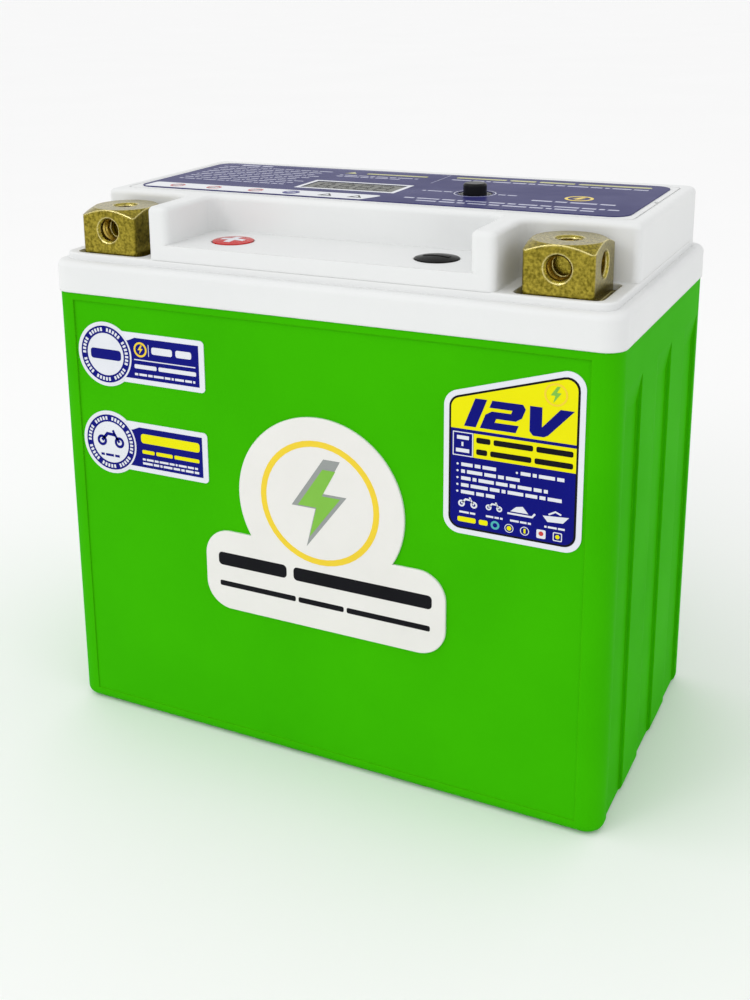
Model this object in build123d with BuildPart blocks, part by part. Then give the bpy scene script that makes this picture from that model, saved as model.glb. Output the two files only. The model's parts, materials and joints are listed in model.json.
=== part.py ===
from build123d import *
import os

os.makedirs("parts", exist_ok=True)

# Motorcycle battery, 12 V lithium, in a case with a 9-B footprint. Millimetres, +Z up.
# The origin is on the floor, under the middle of the case. The terminals are at the front, -Y.
# +X is the side of the negative terminal.

# ---------------------------------------------------------------- driving dimensions
LENGTH = 135.0  # over the lid's skirt
WIDTH = 77.0
PLATEAU_Z = 127.3  # top of the lid
BUTTON_TOP_Z = 130.0
SEAM_Z = 106.1  # where the lid's skirt meets the case

# case
CASE_LENGTH = 134.0
CASE_WIDTH = 76.0
CASE_CORNER = 4.2
CASE_DRAFT = 0.1  # degrees
CASE_FLOOR = 2.6
CASE_BOTTOM_EDGE = 2.0
INNER_LENGTH = 128.8
INNER_WIDTH = 71.8
INNER_CORNER = 2.5
TONGUE_HEIGHT = 4.9
TONGUE_WALL = 1.2
FLUTE_WIDTH = 13.0
FLUTE_PITCH = 26.0
FLUTE_DEPTH = 0.8
FLUTE_TOP_Z = 98.4
FLUTE_RUN_OUT = 7.0
PANEL_LENGTH = 123.4
PANEL_BOTTOM_Z = 2.9
PANEL_TOP_Z = 104.3
PANEL_Y = 37.8  # the panel's face from the middle of the case

# lid
SKIRT_CORNER = 4.5
SHOULDER_Z = 113.6
SHOULDER_RADIUS = 1.5
SKIRT_GAP = 0.15
LID_WALL = 1.6
LID_SKIN = 2.2
BLOCK_LENGTH = 130.2  # raised block above the shoulder
BLOCK_WIDTH = 72.2
BLOCK_CORNER = 3.0
DECK_Z = 115.2  # floor of the terminal pockets
LEDGE_Z = 118.8  # floor of the ledge between them
POCKET_BACK_Y = -17.6
LEDGE_BACK_Y = -16.0
LEDGE_HALF = 35.8
PARTITION = 5.4
POCKET_CORNER = 4.5
LEDGE_CORNER = 3.0
PARTITION_EDGE = 1.6
PLATEAU_EDGE = 1.2
ROOF_Z = 123.5  # underside of the plateau

# cover plate in the plateau
PLATE_LENGTH = 124.2
PLATE_WIDTH = 44.7
PLATE_Y = 9.15
PLATE_THICKNESS = 1.5
PLATE_CORNER = 1.6
PLATE_GAP = 0.25
BAY_INSET = 2.7  # from the plate's edge to the bay below it
PLATE_RIM = 1.2
PLATE_RIM_HEIGHT = 2.0
PRY_NOTCH_DEPTH = 0.8
PRY_NOTCH_LENGTH = 2.0

# labels
LABEL_THICKNESS = 0.2
TOP_LABEL_LENGTH = 121.2
TOP_LABEL_WIDTH = 42.4
TOP_LABEL_Y = 9.6
TOP_LABEL_CORNER = 4.0
BADGE_X = -53.3
BADGE_END = -26.2
BADGE_RADIUS = 7.8
BADGE_HEIGHT = 12.2
BADGE_CORNER = 1.0
UPPER_BADGE_Z = 92.0
LOWER_BADGE_Z = 70.2
EMBLEM_X = 2.4
EMBLEM_BASE_Z = 43.6
EMBLEM_BASE_LENGTH = 59.8
EMBLEM_BASE_HEIGHT = 19.6
EMBLEM_BASE_CORNER = 6.5
EMBLEM_HEAD_Z = 63.8
EMBLEM_HEAD_RADIUS = 20.4
EMBLEM_NECK_RADIUS = 4.0
EMBLEM_THICKNESS = 0.6
VOLTAGE_LEFT = 31.5
VOLTAGE_RIGHT = 60.9
VOLTAGE_BOTTOM = 63.6
VOLTAGE_TOP_LEFT = 94.0
VOLTAGE_TOP_RIGHT = 102.8
VOLTAGE_CORNER = 3.6

# terminals
TERMINAL_X = 53.25
TERMINAL_Y = -26.9
TERMINAL_WIDTH = 14.6
TERMINAL_DEPTH = 15.0
TERMINAL_TOP_Z = 125.5
TERMINAL_HOLE_Z = 120.7
THREAD_RADIUS = 2.5  # M6 core
THREAD_MOUTH = 3.0
TERMINAL_CORNER = 0.9
CONE_RUN = 1.75  # radius gained for each millimetre down the turned top
TOP_HOLE_DEPTH = 10.0
SIDE_HOLE_DEPTH = 4.4
FLANGE_Z = 109.0
FLANGE_THICKNESS = 3.0
FLANGE_LENGTH = 21.0
FLANGE_WIDTH = 24.0
FLANGE_X = 52.8
FLANGE_Y = -22.3
COLLAR_Z = 114.0
COLLAR_GAP = 0.35
OPENING_LENGTH = 18.4
OPENING_DEPTH = 16.0
OPENING_CORNER = 2.0
SEAL_THICKNESS = 1.0
BOSS_RADIUS = 3.0
BOSS_HOLE_DEPTH = 9.0
LUG_Y = -15.0
LUG_THICKNESS = 1.4
LUG_RADIUS = 4.4
BARREL_Y = -9.6
BARREL_LENGTH = 9.0
BARREL_RADIUS = 3.0
LEAD_RADIUS = 2.2
LEAD_Z = 107.0
LEAD_PAD_Y = 13.0
LEAD_BEND = 7.0
SEAL_BACK_Y = -16.9

# small screws
M2_HEAD_RADIUS = 1.9
M2_HEAD = 1.4
M2_LENGTH = 5.0
M2_CORE = 0.9
M3_CORE = 1.25
M3_CLEARANCE = 1.6
M3_HEAD_RADIUS = 2.6
M3_HEAD = 2.0
M5_CORE = 2.1
M5_HEAD_RADIUS = 4.2
M5_HEAD = 3.2

# markers on the ledge
MARKER_X = 24.8
MARKER_Y = -25.9
MARKER_RADIUS = 4.7
MARKER_SEAT = 0.8
MARKER_GAP = 0.2
MARKER_RIM = 0.2
PLUS_CROWN = 0.25
MINUS_CROWN = 0.6

# display and button
WINDOW_X = -9.4
WINDOW_Y = 5.4
WINDOW_LENGTH = 24.0
WINDOW_WIDTH = 10.0
BUTTON_X = 21.2
BUTTON_Y = 5.8
BUTTON_RADIUS = 2.7
BUTTON_HOLE_RADIUS = 4.0
CAP_Z = 125.4
CAP_SOCKET = 2.0
CAP_EDGE = 0.6
WINDOW_GAP = 0.15
DISPLAY_BOARD_Z = 119.3
DISPLAY_BOARD_THICKNESS = 1.2
DISPLAY_BOARD_X = 2.0
DISPLAY_BOARD_Y = 5.0
DISPLAY_BOARD_LENGTH = 64.0
DISPLAY_BOARD_WIDTH = 28.0
DISPLAY_POST_RADIUS = 2.2
BACKLIGHT = 2.9
SWITCH_SIDE = 8.0
SWITCH_HEIGHT = 3.5
SWITCH_FLOOR = 0.5
SWITCH_ROOF = 0.7
SWITCH_ROOM_RADIUS = 2.6
PLUNGER_RADIUS = 1.75
PLUNGER_GAP = 0.05
COLLAR_HEIGHT = 0.4
TIP_HEIGHT = 0.35
TIP_RADIUS = 1.0
DOME_RADIUS = 2.3
DOME_HEIGHT = 0.4
DOME_SHEET = 0.15

# cells, four in series and two in parallel
CELL_RADIUS = 13.1
CELL_HEIGHT = 65.4
CELL_PITCH = 27.4
PACK_Z = 16.6  # top of the foam under the pack
HOLDER_LENGTH = 112.0
HOLDER_WIDTH = 57.8
HOLDER_GRIP = 11.0
HOLDER_LIP = 1.0
SHEET = 0.6
BUSBAR = 0.6
POST_X = 52.6
POST_Y = 25.5
POST_HEIGHT = 6.0
POST_RADIUS = 2.5
SOCKET_RADIUS = 13.2
LIP_RADIUS = 9.0
CAN_CAP_RADIUS = 5.0
CAN_CAP = 0.8
BAR_REACH = 6.0  # from a cell's axis to the edge of its busbar
BAR_END = 54.0  # outer end of the positive and negative busbars
BAR_GAP = 0.2
WELD_RADIUS = 4.0
TAB_WIDTH = 8.0
TAB_HEIGHT = 8.6
SENSE_TAB = 4.0
SENSE_X = 8.5
SENSE_Y = 30.6
SENSE_END_Y = 31.6
WIRE_RADIUS = 0.7
WIRE_TOP_Z = 95.2
WIRE_BEND = 1.5

# pads and boards
SIDE_PAD_WIDTH = 48.0
FRONT_PAD_LENGTH = 100.0
PAD_LOW_Z = 20.0
PAD_HEIGHT = 60.0
WIRE_CHANNEL = 24.0
WIRE_CHANNEL_DEPTH = 3.6
TOP_SHEET_LENGTH = 100.0
TOP_SHEET_WIDTH = 45.0
BOARD_THICKNESS = 1.6
HEADER_Y = 23.0
HEADER_LENGTH = 24.0
HEADER_WIDTH = 6.0
HEADER_HEIGHT = 3.6
SOCKET_X = 10.0
SOCKET_Y = 14.0
SOCKET_LENGTH = 10.0
SOCKET_WIDTH = 5.0
BOARD_SOCKET_HEIGHT = 4.6
DISPLAY_SOCKET_HEIGHT = 3.8
CABLE_WIDTH = 8.0
CABLE_THICKNESS = 0.8
MOSFET_Y = -14.0
MOSFET_LENGTH = 5.0
MOSFET_WIDTH = 6.0
MOSFET_HEIGHT = 1.0
MOSFET_PITCH = 11.0
SPREADER_LENGTH = 88.0
SPREADER_WIDTH = 8.0
SPREADER_HEIGHT = 2.5

# ---------------------------------------------------------------- derived levels
TONGUE_LENGTH = INNER_LENGTH + 2 * TONGUE_WALL
TONGUE_WIDTH = INNER_WIDTH + 2 * TONGUE_WALL
PARTITION_HALF = LEDGE_HALF + PARTITION
DECK_UNDER_Z = DECK_Z - LID_SKIN
PLATE_Z = PLATEAU_Z - PLATE_THICKNESS
BAY_LENGTH = PLATE_LENGTH - 2 * BAY_INSET
BAY_WIDTH = PLATE_WIDTH - 2 * BAY_INSET
FLANGE_TOP_Z = FLANGE_Z + FLANGE_THICKNESS
DISPLAY_TOP_Z = DISPLAY_BOARD_Z + DISPLAY_BOARD_THICKNESS
LOWER_BAR_Z = PACK_Z + SHEET
CELL_Z = LOWER_BAR_Z + BUSBAR + HOLDER_LIP
CELL_TOP_Z = CELL_Z + CELL_HEIGHT
UPPER_BAR_Z = CELL_TOP_Z + HOLDER_LIP
HOLDER_TOP_Z = UPPER_BAR_Z + BUSBAR
BOARD_Z = HOLDER_TOP_Z + POST_HEIGHT
BOARD_TOP_Z = BOARD_Z + BOARD_THICKNESS
COLUMNS = [(i - 1.5) * CELL_PITCH for i in range(4)]
ROWS = [-CELL_PITCH / 2, CELL_PITCH / 2]
FLANGE_SCREWS = [(side * x, -13.0) for side in (-1, 1) for x in (44.6, 60.6)]
POSTS = [(x, y) for x in (-POST_X, POST_X) for y in (-POST_Y, POST_Y)]
MOSFETS = [((i - 3.5) * MOSFET_PITCH, MOSFET_Y) for i in range(8)]
CELLS = [(x, y) for x in COLUMNS for y in ROWS]
DISPLAY_POSTS = [
    (DISPLAY_BOARD_X + x, DISPLAY_BOARD_Y + y) for x in (-29.5, 29.5) for y in (-11.5, 11.5)
]


def corners(sketch, x, y):
    """The sketch's corners at x on either side and at y."""
    return [v for v in sketch.vertices() if abs(abs(v.X) - x) < 0.01 and abs(v.Y - y) < 0.01]


# ---------------------------------------------------------------- case
with BuildPart() as case:
    with BuildSketch():
        RectangleRounded(CASE_LENGTH, CASE_WIDTH, CASE_CORNER)
    extrude(amount=SEAM_Z, taper=-CASE_DRAFT)
    fillet(case.faces().sort_by(Axis.Z)[0].edges(), CASE_BOTTOM_EDGE)
    # flutes in both ends, open at the bottom and running out below the skirt
    for side in (-1, 1):
        for flute in (-1, 0, 1):
            with BuildSketch(Plane.XZ.offset(-flute * FLUTE_PITCH)):
                with BuildLine():
                    outside = side * LENGTH / 2
                    inside = side * (CASE_LENGTH / 2 - FLUTE_DEPTH)
                    Polyline(
                        (outside, -1),
                        (inside, -1),
                        (inside, FLUTE_TOP_Z - FLUTE_RUN_OUT),
                        (outside, FLUTE_TOP_Z + 1),
                        close=True,
                    )
                make_face()
            extrude(amount=FLUTE_WIDTH / 2, both=True, mode=Mode.SUBTRACT)
    # tongue that the lid's skirt fits over
    with BuildSketch(Plane.XY.offset(SEAM_Z)):
        RectangleRounded(TONGUE_LENGTH, TONGUE_WIDTH, INNER_CORNER + TONGUE_WALL)
    extrude(amount=TONGUE_HEIGHT)
    with BuildSketch(Plane.XY.offset(CASE_FLOOR)):
        RectangleRounded(INNER_LENGTH, INNER_WIDTH, INNER_CORNER)
    extrude(amount=SEAM_Z + TONGUE_HEIGHT, mode=Mode.SUBTRACT)
    # shallow panels in the front and the back
    for side in (-1, 1):
        with BuildSketch(Plane.XZ.offset(-side * PANEL_Y)):
            with Locations((0, (PANEL_BOTTOM_Z + PANEL_TOP_Z) / 2)):
                Rectangle(PANEL_LENGTH, PANEL_TOP_Z - PANEL_BOTTOM_Z)
        extrude(amount=-side * 2, mode=Mode.SUBTRACT)
case.part.label = "case"
export_step(case.part, "parts/case.step")

# ---------------------------------------------------------------- lid
with BuildPart() as lid:
    with BuildSketch(Plane.XY.offset(SEAM_Z)):
        RectangleRounded(LENGTH, WIDTH, SKIRT_CORNER)
    extrude(amount=SHOULDER_Z - SEAM_Z)
    fillet(lid.faces().sort_by(Axis.Z)[-1].edges(), SHOULDER_RADIUS)
    pocket_width = BLOCK_LENGTH / 2 - PARTITION_HALF
    pocket_depth = POCKET_BACK_Y + BLOCK_WIDTH / 2
    pocket_x = PARTITION_HALF + pocket_width / 2
    pocket_y = POCKET_BACK_Y - pocket_depth / 2
    ledge_depth = LEDGE_BACK_Y + BLOCK_WIDTH / 2
    # deck with the pockets' floor
    with BuildSketch(Plane.XY.offset(SHOULDER_Z)):
        RectangleRounded(BLOCK_LENGTH, BLOCK_WIDTH, BLOCK_CORNER)
    extrude(amount=DECK_Z - SHOULDER_Z)
    fillet(lid.faces().sort_by(Axis.Z)[-1].edges(), 0.4)
    # up to the ledge between the two pockets
    with BuildSketch(Plane.XY.offset(DECK_Z)) as ledge_level:
        RectangleRounded(BLOCK_LENGTH, BLOCK_WIDTH, BLOCK_CORNER)
        with Locations((-pocket_x, pocket_y), (pocket_x, pocket_y)):
            Rectangle(pocket_width, pocket_depth, mode=Mode.SUBTRACT)
        fillet(corners(ledge_level, PARTITION_HALF, POCKET_BACK_Y), POCKET_CORNER)
        fillet(corners(ledge_level, PARTITION_HALF, -BLOCK_WIDTH / 2), PARTITION_EDGE)
        fillet(corners(ledge_level, BLOCK_LENGTH / 2, POCKET_BACK_Y), PARTITION_EDGE)
    extrude(amount=LEDGE_Z - DECK_Z)
    # up to the plateau, with a partition at each side of the ledge
    with BuildSketch(Plane.XY.offset(LEDGE_Z)) as plateau_level:
        RectangleRounded(BLOCK_LENGTH, BLOCK_WIDTH, BLOCK_CORNER)
        with Locations((-pocket_x, pocket_y), (pocket_x, pocket_y)):
            Rectangle(pocket_width, pocket_depth, mode=Mode.SUBTRACT)
        with Locations((0, LEDGE_BACK_Y - ledge_depth / 2)):
            Rectangle(2 * LEDGE_HALF, ledge_depth, mode=Mode.SUBTRACT)
        fillet(corners(plateau_level, PARTITION_HALF, POCKET_BACK_Y), POCKET_CORNER)
        fillet(corners(plateau_level, LEDGE_HALF, LEDGE_BACK_Y), LEDGE_CORNER)
        fillet(corners(plateau_level, PARTITION_HALF, -BLOCK_WIDTH / 2), PARTITION_EDGE)
        fillet(corners(plateau_level, LEDGE_HALF, -BLOCK_WIDTH / 2), PARTITION_EDGE)
        fillet(corners(plateau_level, BLOCK_LENGTH / 2, POCKET_BACK_Y), PARTITION_EDGE)
    extrude(amount=PLATEAU_Z - LEDGE_Z)
    fillet(lid.faces().sort_by(Axis.Z)[-1].edges(), PLATEAU_EDGE)
    # inside of the skirt, over the case's tongue
    with BuildSketch(Plane.XY.offset(SEAM_Z)):
        RectangleRounded(
            TONGUE_LENGTH + 2 * SKIRT_GAP,
            TONGUE_WIDTH + 2 * SKIRT_GAP,
            INNER_CORNER + TONGUE_WALL + SKIRT_GAP,
        )
    extrude(amount=SHOULDER_Z - LID_SKIN - SEAM_Z, mode=Mode.SUBTRACT)
    # hollows under the pockets, under the ledge and under the plateau
    inner_half = BLOCK_LENGTH / 2 - LID_WALL
    inner_front = BLOCK_WIDTH / 2 - LID_WALL
    with BuildSketch(Plane.XY.offset(SHOULDER_Z - LID_SKIN)):
        RectangleRounded(2 * inner_half, 2 * inner_front, BLOCK_CORNER - LID_WALL)
    extrude(amount=DECK_UNDER_Z - SHOULDER_Z + LID_SKIN, mode=Mode.SUBTRACT)
    with BuildSketch(Plane.XY.offset(DECK_UNDER_Z)):
        Rectangle(2 * (LEDGE_HALF - LID_SKIN), 2 * inner_front)
    extrude(amount=LEDGE_Z - LID_SKIN - DECK_UNDER_Z, mode=Mode.SUBTRACT)
    with BuildSketch(Plane.XY.offset(DECK_UNDER_Z)):
        with Locations((0, (inner_front + LEDGE_BACK_Y + LID_SKIN) / 2)):
            Rectangle(2 * inner_half, inner_front - LEDGE_BACK_Y - LID_SKIN)
    extrude(amount=ROOF_Z - DECK_UNDER_Z, mode=Mode.SUBTRACT)
    # seat of the cover plate and the bay below it
    with BuildSketch(Plane.XY.offset(PLATE_Z)):
        with Locations((0, PLATE_Y)):
            RectangleRounded(
                PLATE_LENGTH + 2 * PLATE_GAP,
                PLATE_WIDTH + 2 * PLATE_GAP,
                PLATE_CORNER + PLATE_GAP,
            )
    extrude(amount=PLATE_THICKNESS + 1, mode=Mode.SUBTRACT)
    with BuildSketch(Plane.XY.offset(ROOF_Z)):
        with Locations((0, PLATE_Y)):
            RectangleRounded(BAY_LENGTH, BAY_WIDTH, PLATE_CORNER)
    extrude(amount=PLATE_Z - ROOF_Z, mode=Mode.SUBTRACT)
    # openings for the terminals
    with BuildSketch(Plane.XY.offset(DECK_UNDER_Z)):
        with Locations((-TERMINAL_X, TERMINAL_Y), (TERMINAL_X, TERMINAL_Y)):
            RectangleRounded(OPENING_LENGTH, OPENING_DEPTH, OPENING_CORNER)
    extrude(amount=LID_SKIN, mode=Mode.SUBTRACT)
    # seats for the polarity markers
    with BuildSketch(Plane.XY.offset(LEDGE_Z)):
        with Locations((-MARKER_X, MARKER_Y), (MARKER_X, MARKER_Y)):
            Circle(MARKER_RADIUS + MARKER_GAP)
    extrude(amount=-MARKER_SEAT, mode=Mode.SUBTRACT)
    # bosses that the terminals' flanges are screwed to
    with BuildSketch(Plane.XY.offset(FLANGE_TOP_Z)):
        with Locations(*FLANGE_SCREWS):
            Circle(BOSS_RADIUS)
    extrude(amount=ROOF_Z - FLANGE_TOP_Z)
    with BuildSketch(Plane.XY.offset(FLANGE_TOP_Z)):
        with Locations(*FLANGE_SCREWS):
            Circle(M3_CORE)
    extrude(amount=BOSS_HOLE_DEPTH, mode=Mode.SUBTRACT)
lid.part.label = "lid"
export_step(lid.part, "parts/lid.step")

# ---------------------------------------------------------------- cover plate
with BuildPart() as cover_plate:
    with BuildSketch(Plane.XY.offset(PLATE_Z)):
        with Locations((0, PLATE_Y)):
            RectangleRounded(PLATE_LENGTH, PLATE_WIDTH, PLATE_CORNER)
        with Locations((PLATE_LENGTH / 2, PLATE_Y)):
            Rectangle(PRY_NOTCH_DEPTH * 2, PRY_NOTCH_LENGTH, mode=Mode.SUBTRACT)
    extrude(amount=PLATE_THICKNESS)
    # rim that centres the plate in the bay
    with BuildSketch(Plane.XY.offset(PLATE_Z)):
        with Locations((0, PLATE_Y)):
            RectangleRounded(
                BAY_LENGTH - 2 * PLATE_GAP, BAY_WIDTH - 2 * PLATE_GAP, PLATE_CORNER
            )
            rim_length = BAY_LENGTH - 2 * PLATE_GAP - 2 * PLATE_RIM
            rim_width = BAY_WIDTH - 2 * PLATE_GAP - 2 * PLATE_RIM
            Rectangle(rim_length, rim_width, mode=Mode.SUBTRACT)
    extrude(amount=-PLATE_RIM_HEIGHT)
    # posts that carry the display board
    with BuildSketch(Plane.XY.offset(DISPLAY_TOP_Z)):
        with Locations(*DISPLAY_POSTS):
            Circle(DISPLAY_POST_RADIUS)
            Circle(M2_CORE, mode=Mode.SUBTRACT)
    extrude(amount=PLATE_Z - DISPLAY_TOP_Z)
    # window and button hole
    with BuildSketch(Plane.XY.offset(PLATE_Z)):
        with Locations((WINDOW_X, WINDOW_Y)):
            Rectangle(WINDOW_LENGTH, WINDOW_WIDTH)
        with Locations((BUTTON_X, BUTTON_Y)):
            Circle(BUTTON_HOLE_RADIUS)
    extrude(amount=PLATE_THICKNESS, mode=Mode.SUBTRACT)
cover_plate.part.label = "cover_plate"
export_step(cover_plate.part, "parts/cover_plate.step")

with BuildPart() as top_label:
    with BuildSketch(Plane.XY.offset(PLATEAU_Z)):
        with Locations((0, TOP_LABEL_Y)):
            RectangleRounded(TOP_LABEL_LENGTH, TOP_LABEL_WIDTH, TOP_LABEL_CORNER)
        with Locations((WINDOW_X, WINDOW_Y)):
            Rectangle(WINDOW_LENGTH, WINDOW_WIDTH, mode=Mode.SUBTRACT)
        with Locations((BUTTON_X, BUTTON_Y)):
            Circle(BUTTON_HOLE_RADIUS, mode=Mode.SUBTRACT)
    extrude(amount=LABEL_THICKNESS)
top_label.part.label = "top_label"
export_step(top_label.part, "parts/top_label.step")

# ---------------------------------------------------------------- display
with BuildPart() as display_lens:
    with BuildSketch(Plane.XY.offset(PLATE_Z)):
        with Locations((WINDOW_X, WINDOW_Y)):
            Rectangle(WINDOW_LENGTH - 2 * WINDOW_GAP, WINDOW_WIDTH - 2 * WINDOW_GAP)
    extrude(amount=PLATE_THICKNESS + LABEL_THICKNESS / 2)
display_lens.part.label = "display_lens"
export_step(display_lens.part, "parts/display_lens.step")

with BuildPart() as display_glass:
    with BuildSketch(Plane.XY.offset(DISPLAY_TOP_Z + BACKLIGHT)):
        with Locations((WINDOW_X, WINDOW_Y)):
            Rectangle(WINDOW_LENGTH + 4, WINDOW_WIDTH + 4)
    extrude(amount=PLATE_Z - DISPLAY_TOP_Z - BACKLIGHT)
display_glass.part.label = "display_glass"
export_step(display_glass.part, "parts/display_glass.step")

with BuildPart() as display_backlight:
    with BuildSketch(Plane.XY.offset(DISPLAY_TOP_Z)):
        with Locations((WINDOW_X, WINDOW_Y)):
            Rectangle(WINDOW_LENGTH + 5, WINDOW_WIDTH + 5)
    extrude(amount=BACKLIGHT)
display_backlight.part.label = "display_backlight"
export_step(display_backlight.part, "parts/display_backlight.step")

with BuildPart() as display_board:
    with BuildSketch(Plane.XY.offset(DISPLAY_BOARD_Z)):
        with Locations((DISPLAY_BOARD_X, DISPLAY_BOARD_Y)):
            RectangleRounded(DISPLAY_BOARD_LENGTH, DISPLAY_BOARD_WIDTH, 1.5)
        with Locations(*DISPLAY_POSTS):
            Circle(M2_CORE + 0.2, mode=Mode.SUBTRACT)
    extrude(amount=DISPLAY_BOARD_THICKNESS)
display_board.part.label = "display_board"
export_step(display_board.part, "parts/display_board.step")

with BuildPart() as display_screws:
    with BuildSketch(Plane.XY.offset(DISPLAY_BOARD_Z)):
        with Locations(*DISPLAY_POSTS):
            Circle(M2_CORE)
    extrude(amount=M2_LENGTH)
    with BuildSketch(Plane.XY.offset(DISPLAY_BOARD_Z)):
        with Locations(*DISPLAY_POSTS):
            Circle(M2_HEAD_RADIUS)
    extrude(amount=-M2_HEAD)
display_screws.part.label = "display_screws"
export_step(display_screws.part, "parts/display_screws.step")

# ---------------------------------------------------------------- push button
with BuildPart() as switch_body:
    with BuildSketch(Plane.XY.offset(DISPLAY_TOP_Z)):
        with Locations((BUTTON_X, BUTTON_Y)):
            RectangleRounded(SWITCH_SIDE, SWITCH_SIDE, 0.5)
    extrude(amount=SWITCH_HEIGHT)
    with BuildSketch(Plane.XY.offset(DISPLAY_TOP_Z + SWITCH_FLOOR)):
        with Locations((BUTTON_X, BUTTON_Y)):
            Circle(SWITCH_ROOM_RADIUS)
    extrude(amount=SWITCH_HEIGHT - SWITCH_FLOOR - SWITCH_ROOF, mode=Mode.SUBTRACT)
    with BuildSketch(Plane.XY.offset(DISPLAY_TOP_Z + SWITCH_HEIGHT)):
        with Locations((BUTTON_X, BUTTON_Y)):
            Circle(PLUNGER_RADIUS + PLUNGER_GAP)
    extrude(amount=-SWITCH_ROOF, mode=Mode.SUBTRACT)
switch_body.part.label = "switch_body"
export_step(switch_body.part, "parts/switch_body.step")

BUTTON_AXIS = Plane((BUTTON_X, BUTTON_Y, 0), x_dir=(1, 0, 0), z_dir=(0, -1, 0))
with BuildPart() as switch_dome:
    with BuildSketch(BUTTON_AXIS):
        with BuildLine():
            floor_z = DISPLAY_TOP_Z + SWITCH_FLOOR
            Polyline(
                (0, floor_z + DOME_HEIGHT),
                (0, floor_z + DOME_HEIGHT - DOME_SHEET),
                (DOME_RADIUS, floor_z),
                (DOME_RADIUS, floor_z + DOME_SHEET),
                close=True,
            )
        make_face()
    revolve(axis=Axis((BUTTON_X, BUTTON_Y, 0), (0, 0, 1)))
switch_dome.part.label = "switch_dome"
export_step(switch_dome.part, "parts/switch_dome.step")

collar_top_z = DISPLAY_TOP_Z + SWITCH_HEIGHT - SWITCH_ROOF - PLUNGER_GAP
with BuildPart() as switch_plunger:
    with BuildSketch(BUTTON_AXIS):
        with BuildLine():
            Polyline(
                (0, collar_top_z - COLLAR_HEIGHT - TIP_HEIGHT),
                (TIP_RADIUS, collar_top_z - COLLAR_HEIGHT - TIP_HEIGHT),
                (TIP_RADIUS, collar_top_z - COLLAR_HEIGHT),
                (SWITCH_ROOM_RADIUS - 0.2, collar_top_z - COLLAR_HEIGHT),
                (SWITCH_ROOM_RADIUS - 0.2, collar_top_z),
                (PLUNGER_RADIUS, collar_top_z),
                (PLUNGER_RADIUS, CAP_Z + CAP_SOCKET),
                (0, CAP_Z + CAP_SOCKET),
                close=True,
            )
        make_face()
    revolve(axis=Axis((BUTTON_X, BUTTON_Y, 0), (0, 0, 1)))
switch_plunger.part.label = "switch_plunger"
export_step(switch_plunger.part, "parts/switch_plunger.step")

with BuildPart() as button_cap:
    with BuildSketch(Plane.XY.offset(CAP_Z)):
        with Locations((BUTTON_X, BUTTON_Y)):
            Circle(BUTTON_RADIUS)
    extrude(amount=BUTTON_TOP_Z - CAP_Z)
    fillet(button_cap.faces().sort_by(Axis.Z)[-1].edges(), CAP_EDGE)
    with BuildSketch(Plane.XY.offset(CAP_Z)):
        with Locations((BUTTON_X, BUTTON_Y)):
            Circle(PLUNGER_RADIUS)
    extrude(amount=CAP_SOCKET, mode=Mode.SUBTRACT)
button_cap.part.label = "button_cap"
export_step(button_cap.part, "parts/button_cap.step")

# ---------------------------------------------------------------- polarity markers
for name, side, crown in (("plus_marker", -1, PLUS_CROWN), ("minus_marker", 1, MINUS_CROWN)):
    with BuildPart() as marker:
        with BuildSketch(Plane.XY.offset(LEDGE_Z - MARKER_SEAT)):
            with Locations((side * MARKER_X, MARKER_Y)):
                Circle(MARKER_RADIUS)
        extrude(amount=MARKER_SEAT + MARKER_RIM + crown)
        dome_radius = (MARKER_RADIUS**2 + crown**2) / (2 * crown)
        dome_z = LEDGE_Z + MARKER_RIM + crown - dome_radius
        with Locations((side * MARKER_X, MARKER_Y, dome_z)):
            Sphere(dome_radius, mode=Mode.INTERSECT)
    marker.part.label = name
    export_step(marker.part, f"parts/{name}.step")

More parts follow.
